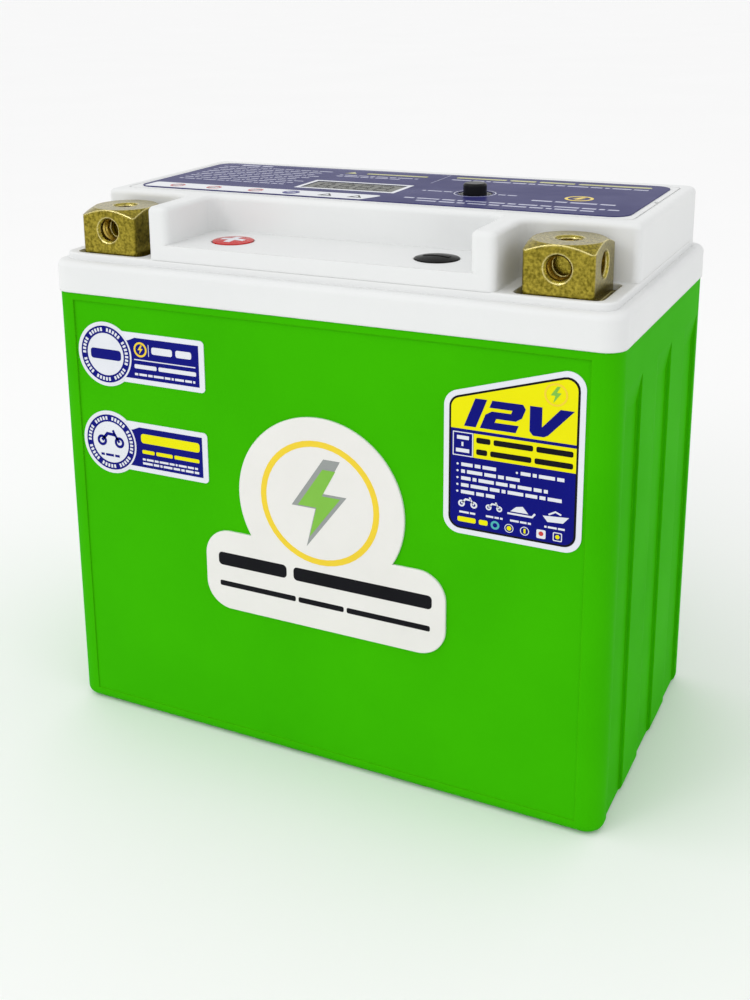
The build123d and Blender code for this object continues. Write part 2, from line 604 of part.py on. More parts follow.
# ---------------------------------------------------------------- terminals
for name, side in (("positive", -1), ("negative", 1)):
    post_axis = Location((side * TERMINAL_X, TERMINAL_Y, TERMINAL_TOP_Z))
    with BuildPart() as terminal:
        with BuildSketch(Plane.XY.offset(FLANGE_Z)):
            with Locations((side * FLANGE_X, FLANGE_Y)):
                RectangleRounded(FLANGE_LENGTH, FLANGE_WIDTH, 1.5)
        extrude(amount=FLANGE_THICKNESS)
        # collar that sits in the deck's opening
        with BuildSketch(Plane.XY.offset(FLANGE_TOP_Z)):
            with Locations((side * TERMINAL_X, TERMINAL_Y)):
                RectangleRounded(
                    OPENING_LENGTH - 2 * COLLAR_GAP, TERMINAL_DEPTH, OPENING_CORNER - COLLAR_GAP
                )
        extrude(amount=COLLAR_Z - FLANGE_TOP_Z)
        with BuildSketch(Plane.XY.offset(COLLAR_Z)):
            with Locations((side * TERMINAL_X, TERMINAL_Y)):
                RectangleRounded(TERMINAL_WIDTH, TERMINAL_DEPTH, TERMINAL_CORNER)
        extrude(amount=TERMINAL_TOP_Z - COLLAR_Z)
        # corners of the top turned off to a shallow cone, as on a nut
        with Locations((side * TERMINAL_X, TERMINAL_Y, (FLANGE_Z + TERMINAL_TOP_Z) / 2)):
            cone_height = TERMINAL_TOP_Z - FLANGE_Z
            Cone(
                TERMINAL_WIDTH / 2 + cone_height * CONE_RUN,
                TERMINAL_WIDTH / 2,
                cone_height,
                mode=Mode.INTERSECT,
            )
        # threaded holes in the top, the front and the outer side
        with Locations(post_axis):
            CounterSinkHole(THREAD_RADIUS, THREAD_MOUTH, TOP_HOLE_DEPTH, 90)
        front = Plane(
            (side * TERMINAL_X, TERMINAL_Y - TERMINAL_DEPTH / 2, TERMINAL_HOLE_Z),
            x_dir=(1, 0, 0),
            z_dir=(0, -1, 0),
        )
        with Locations(front.location):
            CounterSinkHole(THREAD_RADIUS, THREAD_MOUTH, SIDE_HOLE_DEPTH, 90)
        outer_side = Plane(
            (side * (TERMINAL_X + TERMINAL_WIDTH / 2), TERMINAL_Y, TERMINAL_HOLE_Z),
            x_dir=(0, 1, 0),
            z_dir=(side, 0, 0),
        )
        with Locations(outer_side.location):
            CounterSinkHole(THREAD_RADIUS, THREAD_MOUTH, SIDE_HOLE_DEPTH, 90)
        # tapped hole for the lug and clearance holes for the two flange screws
        with BuildSketch(Plane.XY.offset(FLANGE_Z)):
            with Locations((side * TERMINAL_X, LUG_Y)):
                Circle(M5_CORE)
            with Locations(*[spot for spot in FLANGE_SCREWS if spot[0] * side > 0]):
                Circle(M3_CLEARANCE)
        extrude(amount=FLANGE_THICKNESS, mode=Mode.SUBTRACT)
    terminal.part.label = f"terminal_{name}"
    export_step(terminal.part, f"parts/terminal_{name}.step")

    # rubber seal between the flange and the underside of the deck, open to the front
    with BuildPart() as seal:
        with BuildSketch(Plane.XY.offset(FLANGE_TOP_Z)):
            seal_front = FLANGE_Y - FLANGE_WIDTH / 2
            seal_width = SEAL_BACK_Y - seal_front
            with Locations((side * FLANGE_X, (seal_front + SEAL_BACK_Y) / 2)):
                RectangleRounded(FLANGE_LENGTH - 0.4, seal_width, 1.5)
            with Locations((side * TERMINAL_X, TERMINAL_Y)):
                Rectangle(OPENING_LENGTH + 0.4, OPENING_DEPTH + 0.4, mode=Mode.SUBTRACT)
        extrude(amount=SEAL_THICKNESS)
    seal.part.label = f"seal_{name}"
    export_step(seal.part, f"parts/seal_{name}.step")

    # ring lug under the flange, with its barrel behind
    with BuildPart() as lug:
        with BuildSketch(Plane.XY.offset(FLANGE_Z - LUG_THICKNESS)):
            with Locations((side * TERMINAL_X, LUG_Y)):
                Circle(LUG_RADIUS)
            with Locations((side * TERMINAL_X, (LUG_Y + BARREL_Y) / 2)):
                Rectangle(2 * BARREL_RADIUS - 0.6, BARREL_Y - LUG_Y + 1)
            with Locations((side * TERMINAL_X, LUG_Y)):
                Circle(M5_CORE + 0.4, mode=Mode.SUBTRACT)
        extrude(amount=LUG_THICKNESS)
        with BuildSketch(Plane.XZ.offset(-BARREL_Y)):
            with Locations((side * TERMINAL_X, LEAD_Z)):
                Circle(BARREL_RADIUS)
        extrude(amount=-BARREL_LENGTH)
        with BuildSketch(Plane.XZ.offset(-BARREL_Y - 1)):
            with Locations((side * TERMINAL_X, LEAD_Z)):
                Circle(LEAD_RADIUS)
        extrude(amount=-BARREL_LENGTH, mode=Mode.SUBTRACT)
    lug.part.label = f"lug_{name}"
    export_step(lug.part, f"parts/lug_{name}.step")

    # power lead from the lug back and down to the management board
    with BuildPart() as lead:
        with BuildLine() as route:
            FilletPolyline(
                (side * TERMINAL_X, BARREL_Y + 1, LEAD_Z),
                (side * TERMINAL_X, LEAD_PAD_Y, LEAD_Z),
                (side * TERMINAL_X, LEAD_PAD_Y, BOARD_TOP_Z),
                radius=LEAD_BEND,
            )
        with BuildSketch(Plane((side * TERMINAL_X, BARREL_Y + 1, LEAD_Z), z_dir=(0, 1, 0))):
            Circle(LEAD_RADIUS)
        sweep(path=route.line)
    lead.part.label = f"lead_{name}"
    export_step(lead.part, f"parts/lead_{name}.step")

with BuildPart() as terminal_screws:
    with BuildSketch(Plane.XY.offset(FLANGE_Z)):
        with Locations(*FLANGE_SCREWS):
            Circle(M3_CORE)
    extrude(amount=FLANGE_THICKNESS + BOSS_HOLE_DEPTH - 1)
    with BuildSketch(Plane.XY.offset(FLANGE_Z)):
        with Locations(*FLANGE_SCREWS):
            Circle(M3_HEAD_RADIUS)
    extrude(amount=-M3_HEAD)
terminal_screws.part.label = "terminal_screws"
export_step(terminal_screws.part, "parts/terminal_screws.step")

with BuildPart() as lug_screws:
    lug_spots = [(-TERMINAL_X, LUG_Y), (TERMINAL_X, LUG_Y)]
    with BuildSketch(Plane.XY.offset(FLANGE_Z - LUG_THICKNESS)):
        with Locations(*lug_spots):
            Circle(M5_CORE)
    extrude(amount=LUG_THICKNESS + FLANGE_THICKNESS - 0.2)
    with BuildSketch(Plane.XY.offset(FLANGE_Z - LUG_THICKNESS)):
        with Locations(*lug_spots):
            RegularPolygon(M5_HEAD_RADIUS, 6)
    extrude(amount=-M5_HEAD)
lug_screws.part.label = "lug_screws"
export_step(lug_screws.part, "parts/lug_screws.step")

# ---------------------------------------------------------------- front labels
for name, level in (("upper_badge", UPPER_BADGE_Z), ("lower_badge", LOWER_BADGE_Z)):
    with BuildPart() as badge:
        with BuildSketch(Plane.XZ.offset(PANEL_Y)):
            with Locations(((BADGE_X + BADGE_END) / 2, level)):
                RectangleRounded(BADGE_END - BADGE_X, BADGE_HEIGHT, BADGE_CORNER)
            with Locations((BADGE_X, level)):
                Circle(BADGE_RADIUS)
        extrude(amount=LABEL_THICKNESS)
    badge.part.label = name
    export_step(badge.part, f"parts/{name}.step")

with BuildPart() as emblem_label:
    with BuildSketch(Plane.XZ.offset(PANEL_Y)) as emblem_outline:
        with Locations((EMBLEM_X, EMBLEM_BASE_Z)):
            RectangleRounded(EMBLEM_BASE_LENGTH, EMBLEM_BASE_HEIGHT, EMBLEM_BASE_CORNER)
        with Locations((EMBLEM_X, EMBLEM_HEAD_Z)):
            Circle(EMBLEM_HEAD_RADIUS)
        neck_z = EMBLEM_BASE_Z + EMBLEM_BASE_HEIGHT / 2
        neck = [
            v
            for v in emblem_outline.vertices()
            if abs(v.Z - neck_z) < 0.01 and abs(v.X - EMBLEM_X) < EMBLEM_HEAD_RADIUS
        ]
        fillet(neck, EMBLEM_NECK_RADIUS)
    extrude(amount=EMBLEM_THICKNESS)
    fillet(emblem_label.faces().sort_by(Axis.Y)[0].edges(), EMBLEM_THICKNESS / 2)
emblem_label.part.label = "emblem_label"
export_step(emblem_label.part, "parts/emblem_label.step")

with BuildPart() as voltage_label:
    with BuildSketch(Plane.XZ.offset(PANEL_Y)) as voltage_outline:
        with BuildLine():
            Polyline(
                (VOLTAGE_LEFT, VOLTAGE_BOTTOM),
                (VOLTAGE_RIGHT, VOLTAGE_BOTTOM),
                (VOLTAGE_RIGHT, VOLTAGE_TOP_RIGHT),
                (VOLTAGE_LEFT, VOLTAGE_TOP_LEFT),
                close=True,
            )
        make_face()
        fillet(voltage_outline.vertices(), VOLTAGE_CORNER)
    extrude(amount=LABEL_THICKNESS)
voltage_label.part.label = "voltage_label"
export_step(voltage_label.part, "parts/voltage_label.step")

# ---------------------------------------------------------------- cells
for number, (x, y) in enumerate(CELLS, start=1):
    positive_up = x in (COLUMNS[0], COLUMNS[2])
    with BuildPart() as cell:
        can_z = CELL_Z if positive_up else CELL_Z + CAN_CAP
        with BuildSketch(Plane.XY.offset(can_z)):
            with Locations((x, y)):
                Circle(CELL_RADIUS)
        extrude(amount=CELL_HEIGHT - CAN_CAP)
        fillet(cell.edges().filter_by(GeomType.CIRCLE), 0.6)
        cap_z = CELL_TOP_Z - CAN_CAP if positive_up else CELL_Z
        with BuildSketch(Plane.XY.offset(cap_z)):
            with Locations((x, y)):
                Circle(CAN_CAP_RADIUS)
        extrude(amount=CAN_CAP)
    cell.part.label = f"cell_{number}"
    export_step(cell.part, f"parts/cell_{number}.step")

# ---------------------------------------------------------------- busbars
# below: the first two columns and the last two, each with a tab for its sense wire
for name, side in (("lower_bar_left", -1), ("lower_bar_right", 1)):
    with BuildPart() as lower_bar:
        with BuildSketch(Plane.XY.offset(LOWER_BAR_Z)):
            with Locations((side * CELL_PITCH, 0)):
                Rectangle(CELL_PITCH + 2 * BAR_REACH, CELL_PITCH + 2 * BAR_REACH)
            with Locations((side * SENSE_X, SENSE_END_Y / 2)):
                Rectangle(SENSE_TAB, SENSE_END_Y)
        extrude(amount=BUSBAR)
        with BuildSketch(Plane.XY.offset(LOWER_BAR_Z + BUSBAR)):
            with Locations(*[spot for spot in CELLS if spot[0] * side > 0]):
                Circle(WELD_RADIUS)
        extrude(amount=HOLDER_LIP)
    lower_bar.part.label = name
    export_step(lower_bar.part, f"parts/{name}.step")

# above: one column at each end, with a tab up through the management board
for name, side in (("upper_bar_positive", -1), ("upper_bar_negative", 1)):
    column = side * abs(COLUMNS[0])
    bar_inner = abs(COLUMNS[0]) - BAR_REACH
    with BuildPart() as upper_bar:
        with BuildSketch(Plane.XY.offset(UPPER_BAR_Z)):
            with Locations((side * (bar_inner + BAR_END) / 2, 0)):
                Rectangle(BAR_END - bar_inner, CELL_PITCH + 2 * BAR_REACH)
        extrude(amount=BUSBAR)
        with BuildSketch(Plane.XY.offset(UPPER_BAR_Z)):
            with Locations(*[(column, y) for y in ROWS]):
                Circle(WELD_RADIUS)
        extrude(amount=-HOLDER_LIP)
        with BuildSketch(Plane.XY.offset(HOLDER_TOP_Z)):
            with Locations((side * (BAR_END - BUSBAR / 2), 0)):
                Rectangle(BUSBAR, TAB_WIDTH)
        extrude(amount=TAB_HEIGHT)
    upper_bar.part.label = name
    export_step(upper_bar.part, f"parts/{name}.step")

with BuildPart() as upper_bar_middle:
    with BuildSketch(Plane.XY.offset(UPPER_BAR_Z)):
        Rectangle(CELL_PITCH + 2 * BAR_REACH, CELL_PITCH + 2 * BAR_REACH)
        with Locations((0, SENSE_END_Y / 2)):
            Rectangle(SENSE_TAB, SENSE_END_Y)
    extrude(amount=BUSBAR)
    with BuildSketch(Plane.XY.offset(UPPER_BAR_Z)):
        with Locations(*[(x, y) for x in COLUMNS[1:3] for y in ROWS]):
            Circle(WELD_RADIUS)
    extrude(amount=-HOLDER_LIP)
upper_bar_middle.part.label = "upper_bar_middle"
export_step(upper_bar_middle.part, "parts/upper_bar_middle.step")

# ---------------------------------------------------------------- cell holders
with BuildPart() as lower_holder:
    with BuildSketch(Plane.XY.offset(LOWER_BAR_Z)):
        RectangleRounded(HOLDER_LENGTH, HOLDER_WIDTH, 3)
    extrude(amount=CELL_Z + HOLDER_GRIP - LOWER_BAR_Z)
    with BuildSketch(Plane.XY.offset(CELL_Z)):
        with Locations(*CELLS):
            Circle(SOCKET_RADIUS)
    extrude(amount=HOLDER_GRIP, mode=Mode.SUBTRACT)
    with BuildSketch(Plane.XY.offset(LOWER_BAR_Z)):
        with Locations(*CELLS):
            Circle(LIP_RADIUS)
    extrude(amount=CELL_Z - LOWER_BAR_Z, mode=Mode.SUBTRACT)
    # pockets for the two busbars and their sense tabs
    with BuildSketch(Plane.XY.offset(LOWER_BAR_Z)):
        with Locations((-CELL_PITCH, 0), (CELL_PITCH, 0)):
            pocket_side = CELL_PITCH + 2 * BAR_REACH + 2 * BAR_GAP
            Rectangle(pocket_side, pocket_side)
        with Locations((-SENSE_X, HOLDER_WIDTH / 4), (SENSE_X, HOLDER_WIDTH / 4)):
            Rectangle(SENSE_TAB + 2 * BAR_GAP, HOLDER_WIDTH / 2)
    extrude(amount=BUSBAR, mode=Mode.SUBTRACT)
lower_holder.part.label = "lower_holder"
export_step(lower_holder.part, "parts/lower_holder.step")

with BuildPart() as upper_holder:
    with BuildSketch(Plane.XY.offset(CELL_TOP_Z - HOLDER_GRIP)):
        RectangleRounded(HOLDER_LENGTH, HOLDER_WIDTH, 3)
    extrude(amount=HOLDER_TOP_Z - CELL_TOP_Z + HOLDER_GRIP)
    with BuildSketch(Plane.XY.offset(HOLDER_TOP_Z)):
        with Locations(*POSTS):
            Circle(POST_RADIUS)
    extrude(amount=POST_HEIGHT)
    with BuildSketch(Plane.XY.offset(BOARD_Z)):
        with Locations(*POSTS):
            Circle(M2_CORE)
    extrude(amount=-M2_LENGTH, mode=Mode.SUBTRACT)
    with BuildSketch(Plane.XY.offset(CELL_TOP_Z - HOLDER_GRIP)):
        with Locations(*CELLS):
            Circle(SOCKET_RADIUS)
    extrude(amount=HOLDER_GRIP, mode=Mode.SUBTRACT)
    with BuildSketch(Plane.XY.offset(CELL_TOP_Z)):
        with Locations(*CELLS):
            Circle(LIP_RADIUS)
    extrude(amount=HOLDER_LIP, mode=Mode.SUBTRACT)
    # pockets for the three busbars and the middle one's sense tab
    with BuildSketch(Plane.XY.offset(UPPER_BAR_Z)):
        Rectangle(pocket_side, pocket_side)
        end_length = BAR_END - abs(COLUMNS[0]) + BAR_REACH
        end_x = BAR_END - end_length / 2
        with Locations((-end_x, 0), (end_x, 0)):
            Rectangle(end_length + 2 * BAR_GAP, pocket_side)
        with Locations((0, HOLDER_WIDTH / 4)):
            Rectangle(SENSE_TAB + 2 * BAR_GAP, HOLDER_WIDTH / 2)
    extrude(amount=BUSBAR, mode=Mode.SUBTRACT)
upper_holder.part.label = "upper_holder"
export_step(upper_holder.part, "parts/upper_holder.step")

# ---------------------------------------------------------------- insulation and foam
with BuildPart() as lower_sheet:
    with BuildSketch(Plane.XY.offset(PACK_Z)):
        RectangleRounded(HOLDER_LENGTH, HOLDER_WIDTH, 3)
    extrude(amount=SHEET)
lower_sheet.part.label = "lower_sheet"
export_step(lower_sheet.part, "parts/lower_sheet.step")

with BuildPart() as upper_sheet:
    with BuildSketch(Plane.XY.offset(HOLDER_TOP_Z)):
        RectangleRounded(TOP_SHEET_LENGTH, TOP_SHEET_WIDTH, 3)
    extrude(amount=SHEET)
upper_sheet.part.label = "upper_sheet"
export_step(upper_sheet.part, "parts/upper_sheet.step")

with BuildPart() as bottom_pad:
    with BuildSketch(Plane.XY.offset(CASE_FLOOR)):
        RectangleRounded(HOLDER_LENGTH, HOLDER_WIDTH, 3)
    extrude(amount=PACK_Z - CASE_FLOOR)
bottom_pad.part.label = "bottom_pad"
export_step(bottom_pad.part, "parts/bottom_pad.step")

with BuildPart() as side_pads:
    side_pad = (INNER_LENGTH - HOLDER_LENGTH) / 2
    with BuildSketch(Plane.XY.offset(PAD_LOW_Z)):
        with Locations((-(INNER_LENGTH - side_pad) / 2, 0), ((INNER_LENGTH - side_pad) / 2, 0)):
            Rectangle(side_pad, SIDE_PAD_WIDTH)
    extrude(amount=PAD_HEIGHT)
side_pads.part.label = "side_pads"
export_step(side_pads.part, "parts/side_pads.step")

face_pad = (INNER_WIDTH - HOLDER_WIDTH) / 2
face_pad_y = (INNER_WIDTH - face_pad) / 2
with BuildPart() as front_pad:
    with BuildSketch(Plane.XY.offset(PAD_LOW_Z)):
        with Locations((0, -face_pad_y)):
            Rectangle(FRONT_PAD_LENGTH, face_pad)
    extrude(amount=PAD_HEIGHT)
front_pad.part.label = "front_pad"
export_step(front_pad.part, "parts/front_pad.step")

with BuildPart() as back_pad:
    with BuildSketch(Plane.XY.offset(PAD_LOW_Z)):
        with Locations((0, face_pad_y)):
            Rectangle(FRONT_PAD_LENGTH, face_pad)
        # channel for the sense wires
        with Locations((0, (HOLDER_WIDTH + WIRE_CHANNEL_DEPTH) / 2)):
            Rectangle(WIRE_CHANNEL, WIRE_CHANNEL_DEPTH, mode=Mode.SUBTRACT)
    extrude(amount=PAD_HEIGHT)
back_pad.part.label = "back_pad"
export_step(back_pad.part, "parts/back_pad.step")

# ---------------------------------------------------------------- management board
with BuildPart() as management_board:
    with BuildSketch(Plane.XY.offset(BOARD_Z)):
        RectangleRounded(HOLDER_LENGTH, HOLDER_WIDTH, 3)
        with Locations(*POSTS):
            Circle(M2_CORE + BAR_GAP, mode=Mode.SUBTRACT)
        tab_x = BAR_END - BUSBAR / 2
        with Locations((-tab_x, 0), (tab_x, 0)):
            Rectangle(BUSBAR + BAR_GAP, TAB_WIDTH + BAR_GAP, mode=Mode.SUBTRACT)
    extrude(amount=BOARD_THICKNESS)
management_board.part.label = "management_board"
export_step(management_board.part, "parts/management_board.step")

with BuildPart() as board_screws:
    with BuildSketch(Plane.XY.offset(BOARD_TOP_Z)):
        with Locations(*POSTS):
            Circle(M2_CORE)
    extrude(amount=-M2_LENGTH)
    with BuildSketch(Plane.XY.offset(BOARD_TOP_Z)):
        with Locations(*POSTS):
            Circle(M2_HEAD_RADIUS)
    extrude(amount=M2_HEAD)
board_screws.part.label = "board_screws"
export_step(board_screws.part, "parts/board_screws.step")

with BuildPart() as transistors:
    with BuildSketch(Plane.XY.offset(BOARD_TOP_Z)):
        with Locations(*MOSFETS):
            Rectangle(MOSFET_LENGTH, MOSFET_WIDTH)
    extrude(amount=MOSFET_HEIGHT)
transistors.part.label = "transistors"
export_step(transistors.part, "parts/transistors.step")

with BuildPart() as heat_spreader:
    with BuildSketch(Plane.XY.offset(BOARD_TOP_Z + MOSFET_HEIGHT)):
        with Locations((0, MOSFET_Y)):
            RectangleRounded(SPREADER_LENGTH, SPREADER_WIDTH, 1)
    extrude(amount=SPREADER_HEIGHT)
heat_spreader.part.label = "heat_spreader"
export_step(heat_spreader.part, "parts/heat_spreader.step")

with BuildPart() as sense_header:
    with BuildSketch(Plane.XY.offset(BOARD_TOP_Z)):
        with Locations((0, HEADER_Y)):
            Rectangle(HEADER_LENGTH, HEADER_WIDTH)
    extrude(amount=HEADER_HEIGHT)
sense_header.part.label = "sense_header"
export_step(sense_header.part, "parts/sense_header.step")

with BuildPart() as sense_wires:
    for x, start_z in (
        (-SENSE_X, LOWER_BAR_Z + BUSBAR),
        (0, UPPER_BAR_Z + BUSBAR),
        (SENSE_X, LOWER_BAR_Z + BUSBAR),
    ):
        with BuildLine() as wire_route:
            FilletPolyline(
                (x, SENSE_Y, start_z),
                (x, SENSE_Y, WIRE_TOP_Z),
                (x, HEADER_Y + HEADER_WIDTH / 2, WIRE_TOP_Z),
                radius=WIRE_BEND,
            )
        with BuildSketch(Plane((x, SENSE_Y, start_z))):
            Circle(WIRE_RADIUS)
        sweep(path=wire_route.line)
sense_wires.part.label = "sense_wires"
export_step(sense_wires.part, "parts/sense_wires.step")

with BuildPart() as board_socket:
    with BuildSketch(Plane.XY.offset(BOARD_TOP_Z)):
        with Locations((SOCKET_X, SOCKET_Y)):
            Rectangle(SOCKET_LENGTH, SOCKET_WIDTH)
    extrude(amount=BOARD_SOCKET_HEIGHT)
board_socket.part.label = "board_socket"
export_step(board_socket.part, "parts/board_socket.step")

with BuildPart() as display_socket:
    with BuildSketch(Plane.XY.offset(DISPLAY_BOARD_Z)):
        with Locations((SOCKET_X, SOCKET_Y)):
            Rectangle(SOCKET_LENGTH, SOCKET_WIDTH)
    extrude(amount=-DISPLAY_SOCKET_HEIGHT)
display_socket.part.label = "display_socket"
export_step(display_socket.part, "parts/display_socket.step")

with BuildPart() as display_cable:
    with BuildSketch(Plane.XY.offset(BOARD_TOP_Z + BOARD_SOCKET_HEIGHT)):
        with Locations((SOCKET_X, SOCKET_Y)):
            Rectangle(CABLE_WIDTH, CABLE_THICKNESS)
    cable_top_z = DISPLAY_BOARD_Z - DISPLAY_SOCKET_HEIGHT
    extrude(amount=cable_top_z - BOARD_TOP_Z - BOARD_SOCKET_HEIGHT)
display_cable.part.label = "display_cable"
export_step(display_cable.part, "parts/display_cable.step")
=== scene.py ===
import json
import math

import bmesh
import bpy
from mathutils import Matrix, Vector, geometry


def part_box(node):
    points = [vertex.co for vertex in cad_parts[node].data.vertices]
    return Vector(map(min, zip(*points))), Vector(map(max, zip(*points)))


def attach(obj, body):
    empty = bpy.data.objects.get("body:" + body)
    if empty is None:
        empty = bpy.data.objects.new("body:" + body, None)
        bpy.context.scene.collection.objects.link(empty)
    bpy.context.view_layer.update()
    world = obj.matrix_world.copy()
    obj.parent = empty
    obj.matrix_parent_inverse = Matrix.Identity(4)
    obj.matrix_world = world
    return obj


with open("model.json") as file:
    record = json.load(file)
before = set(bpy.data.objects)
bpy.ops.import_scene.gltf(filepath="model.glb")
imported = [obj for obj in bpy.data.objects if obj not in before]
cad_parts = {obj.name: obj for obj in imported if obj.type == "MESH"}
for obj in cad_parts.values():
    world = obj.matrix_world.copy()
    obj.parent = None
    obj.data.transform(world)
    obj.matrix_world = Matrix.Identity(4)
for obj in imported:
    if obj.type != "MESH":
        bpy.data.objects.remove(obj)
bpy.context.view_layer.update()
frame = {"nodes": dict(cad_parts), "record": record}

# All lengths are in mm until a place function or MM turns them into metres.
MM = 0.001
LAYER = 0.03  # thickness of one printed layer
SINK = 0.02  # how far a printed layer reaches into the one below


def box(node):
    """The node's lower corner, upper corner and middle."""
    low, high = (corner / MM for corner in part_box(node))
    return low, high, (low + high) / 2


# ---------------------------------------------------------------- flat shapes
# A loop is a list of points. A shape is a list of loops: an outline and its holes.
def disc(x, y, radius, steps=48):
    """A circle as a loop."""
    turns = [2 * math.pi * i / steps for i in range(steps)]
    return [(x + radius * math.cos(t), y + radius * math.sin(t)) for t in turns]


def ring(x, y, outer, inner, steps=48):
    """A shape: a flat ring."""
    return [disc(x, y, outer, steps), disc(x, y, inner, steps)]


def block(left, right, y, height):
    """A rectangle from left to right, centred on y, as a loop."""
    low, high = y - height / 2, y + height / 2
    return [(left, low), (right, low), (right, high), (left, high)]


def directions(points, i):
    """The directions from point i to the one before it and to the one after it."""
    corner = Vector(points[i])
    back = Vector(points[i - 1]) - corner
    ahead = Vector(points[(i + 1) % len(points)]) - corner
    return back.normalized(), ahead.normalized()


def rounded(points, radius, steps=6):
    """The loop with an arc at each corner."""
    loop = []
    for i, point in enumerate(points):
        corner = Vector(point)
        back, ahead = directions(points, i)
        half = back.angle(ahead) / 2
        centre = corner + (back + ahead).normalized() * (radius / math.sin(half))
        start = corner + back * (radius / math.tan(half)) - centre
        end = corner + ahead * (radius / math.tan(half)) - centre
        first = math.atan2(start.y, start.x)
        sweep = (math.atan2(end.y, end.x) - first + math.pi) % (2 * math.pi) - math.pi
        angles = [first + sweep * k / steps for k in range(steps + 1)]
        loop += [(centre.x + radius * math.cos(a), centre.y + radius * math.sin(a)) for a in angles]
    return loop


def inset(points, margin):
    """The convex loop with every side moved in by margin."""
    moved = []
    for i, point in enumerate(points):
        back, ahead = directions(points, i)
        moved.append(tuple(Vector(point) + (back + ahead) * (margin / math.sin(back.angle(ahead)))))
    return moved


def above(points, level):
    """The part of a convex loop that lies above level."""
    kept = []
    for i, (x, y) in enumerate(points):
        last_x, last_y = points[i - 1]
        if (y > level) != (last_y > level):
            share = (level - last_y) / (y - last_y)
            kept.append((last_x + share * (x - last_x), level))
        if y > level:
            kept.append((x, y))
    return kept


def stroke(points, width):
    """A line of even width along points, with mitred corners, as a loop."""
    sharpest = 0.3  # keeps a sharp corner's mitre short
    path = [Vector(p) for p in points]
    left, right = [], []
    for i, point in enumerate(path):
        into = (point - path[i - 1]).normalized() if i else (path[1] - path[0]).normalized()
        out = (path[i + 1] - point).normalized() if i < len(path) - 1 else into
        middle = (into + out).normalized()
        normal = Vector((-middle.y, middle.x)) * (width / 2 / max(middle.dot(out), sharpest))
        left.append(tuple(point + normal))
        right.append(tuple(point - normal))
    return left + right[::-1]


WORDS = (3, 7, 4, 9, 5, 2, 8, 6)  # letters in each word of a line that stands in for print
LETTER, SPACE = 0.55, 0.6  # widths of a letter and of a space, in heights of the line
BAR_GAP, BAR_ROUNDING = 0.55, 0.3  # gap and rounding of a title's bars, in heights of the line


def row(left, right, y, height, start=0):
    """A line that stands in for small print: a block for each word. start picks the first word."""
    shapes = []
    x, index = left, start
    while x < right - height:
        end = min(x + WORDS[index % len(WORDS)] * height * LETTER, right)
        shapes.append([block(x, end, y, height)])
        x = end + height * SPACE
        index += 1
    return shapes


def title(left, right, y, height, words=(1,)):
    """A line that stands in for large print. words are its bars' lengths in proportion."""
    gap = height * BAR_GAP
    unit = (right - left - gap * (len(words) - 1)) / sum(words)
    shapes, x = [], left
    for word in words:
        end = x + word * unit
        radius = min(height, word * unit) * BAR_ROUNDING
        shapes.append([rounded(block(x, end, y, height), radius, 4)])
        x = end + gap
    return shapes


def bolt(x, y, size):
    """A plain zigzag bolt as a loop. size is half its height."""
    corners = ((0.12, 1), (-0.64, -0.12), (-0.08, -0.12), (-0.3, -1), (0.64, 0.24), (0.09, 0.24), (0.5, 1))
    return [(x + size * px, y + size * py) for px, py in corners]


def two_wheeler(x, y, size):
    """Shapes of a plain sign for a vehicle: two wheels and a frame. size is half its wheelbase."""
    body = ((-1, 0), (-0.35, 0.75), (0.5, 0.7))
    fork = ((0.3, 1.15), (0.5, 0.75), (1, 0))
    wheels = [ring(x + end * size, y, size * 0.55, size * 0.28, 20) for end in (-1, 1)]
    lines = []
    for points, width in ((body, 0.3), (fork, 0.26)):
        lines.append([stroke([(x + size * px, y + size * py) for px, py in points], size * width)])
    return wheels + lines


# ---------------------------------------------------------------- pieces
def piece(name, shapes, place, layer, material, cuts=0):
    """One object made of thin closed plates, one for each shape. layer counts from the label up."""
    mesh = bmesh.new()
    low, high = -SINK, LAYER * layer
    for loops in shapes:
        tops = [[mesh.verts.new((*p, high)) for p in loop] for loop in loops]
        bottoms = [[mesh.verts.new((*p, low)) for p in loop] for loop in loops]
        top = [v for loop in tops for v in loop]
        bottom = [v for loop in bottoms for v in loop]
        flat = [[Vector((*p, 0)) for p in loop] for loop in loops]
        for triangle in geometry.tessellate_polygon(flat):
            mesh.faces.new([top[i] for i in triangle])
            mesh.faces.new([bottom[i] for i in reversed(triangle)])
        for upper, lower in zip(tops, bottoms):
            for i in range(len(upper)):
                mesh.faces.new((upper[i - 1], upper[i], lower[i], lower[i - 1]))
    if cuts:
        bmesh.ops.subdivide_edges(mesh, edges=mesh.edges, cuts=cuts, use_grid_fill=True)
    for vertex in mesh.verts:
        vertex.co = place(vertex.co)
    finished(name, mesh, material)


def finished(name, mesh, material):
    """Turns a bmesh into an object that rides on the battery."""
    bmesh.ops.recalc_face_normals(mesh, faces=mesh.faces)
    data = bpy.data.meshes.new(name)
    mesh.to_mesh(data)
    mesh.free()
    data.materials.append(material)
    made = bpy.data.objects.new(name, data)
    bpy.context.scene.collection.objects.link(made)
    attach(made, "battery")


def on_front(x, z, face):
    """Places a print on a front label. The print's zero is at x and z, and face is the label's front."""
    return lambda p: Vector((x + p.x, face - p.z, z + p.y)) * MM


def on_top(x, y, face):
    """Places a print on a top face whose height is face."""
    return lambda p: Vector((x + p.x, y + p.y, face + p.z)) * MM


def on_dome(x, y, top, radius, crown):
    """Places a print on a shallow dome that rises by crown."""
    def place(p):
        fall = crown * (p.x**2 + p.y**2) / radius**2
        return Vector((x + p.x, y + p.y, top - fall + p.z)) * MM

    return place


# ---------------------------------------------------------------- materials
LEAST_ROUGHNESS = 0.02
PATCH_LIMITS = (0.3, 0.7)  # noise values at which a patch has its darker and its lighter colour
HIGHLIGHT_LIMITS = (0.985, 0.9)  # cosines of the turn at which an edge's painted highlight starts, and is full
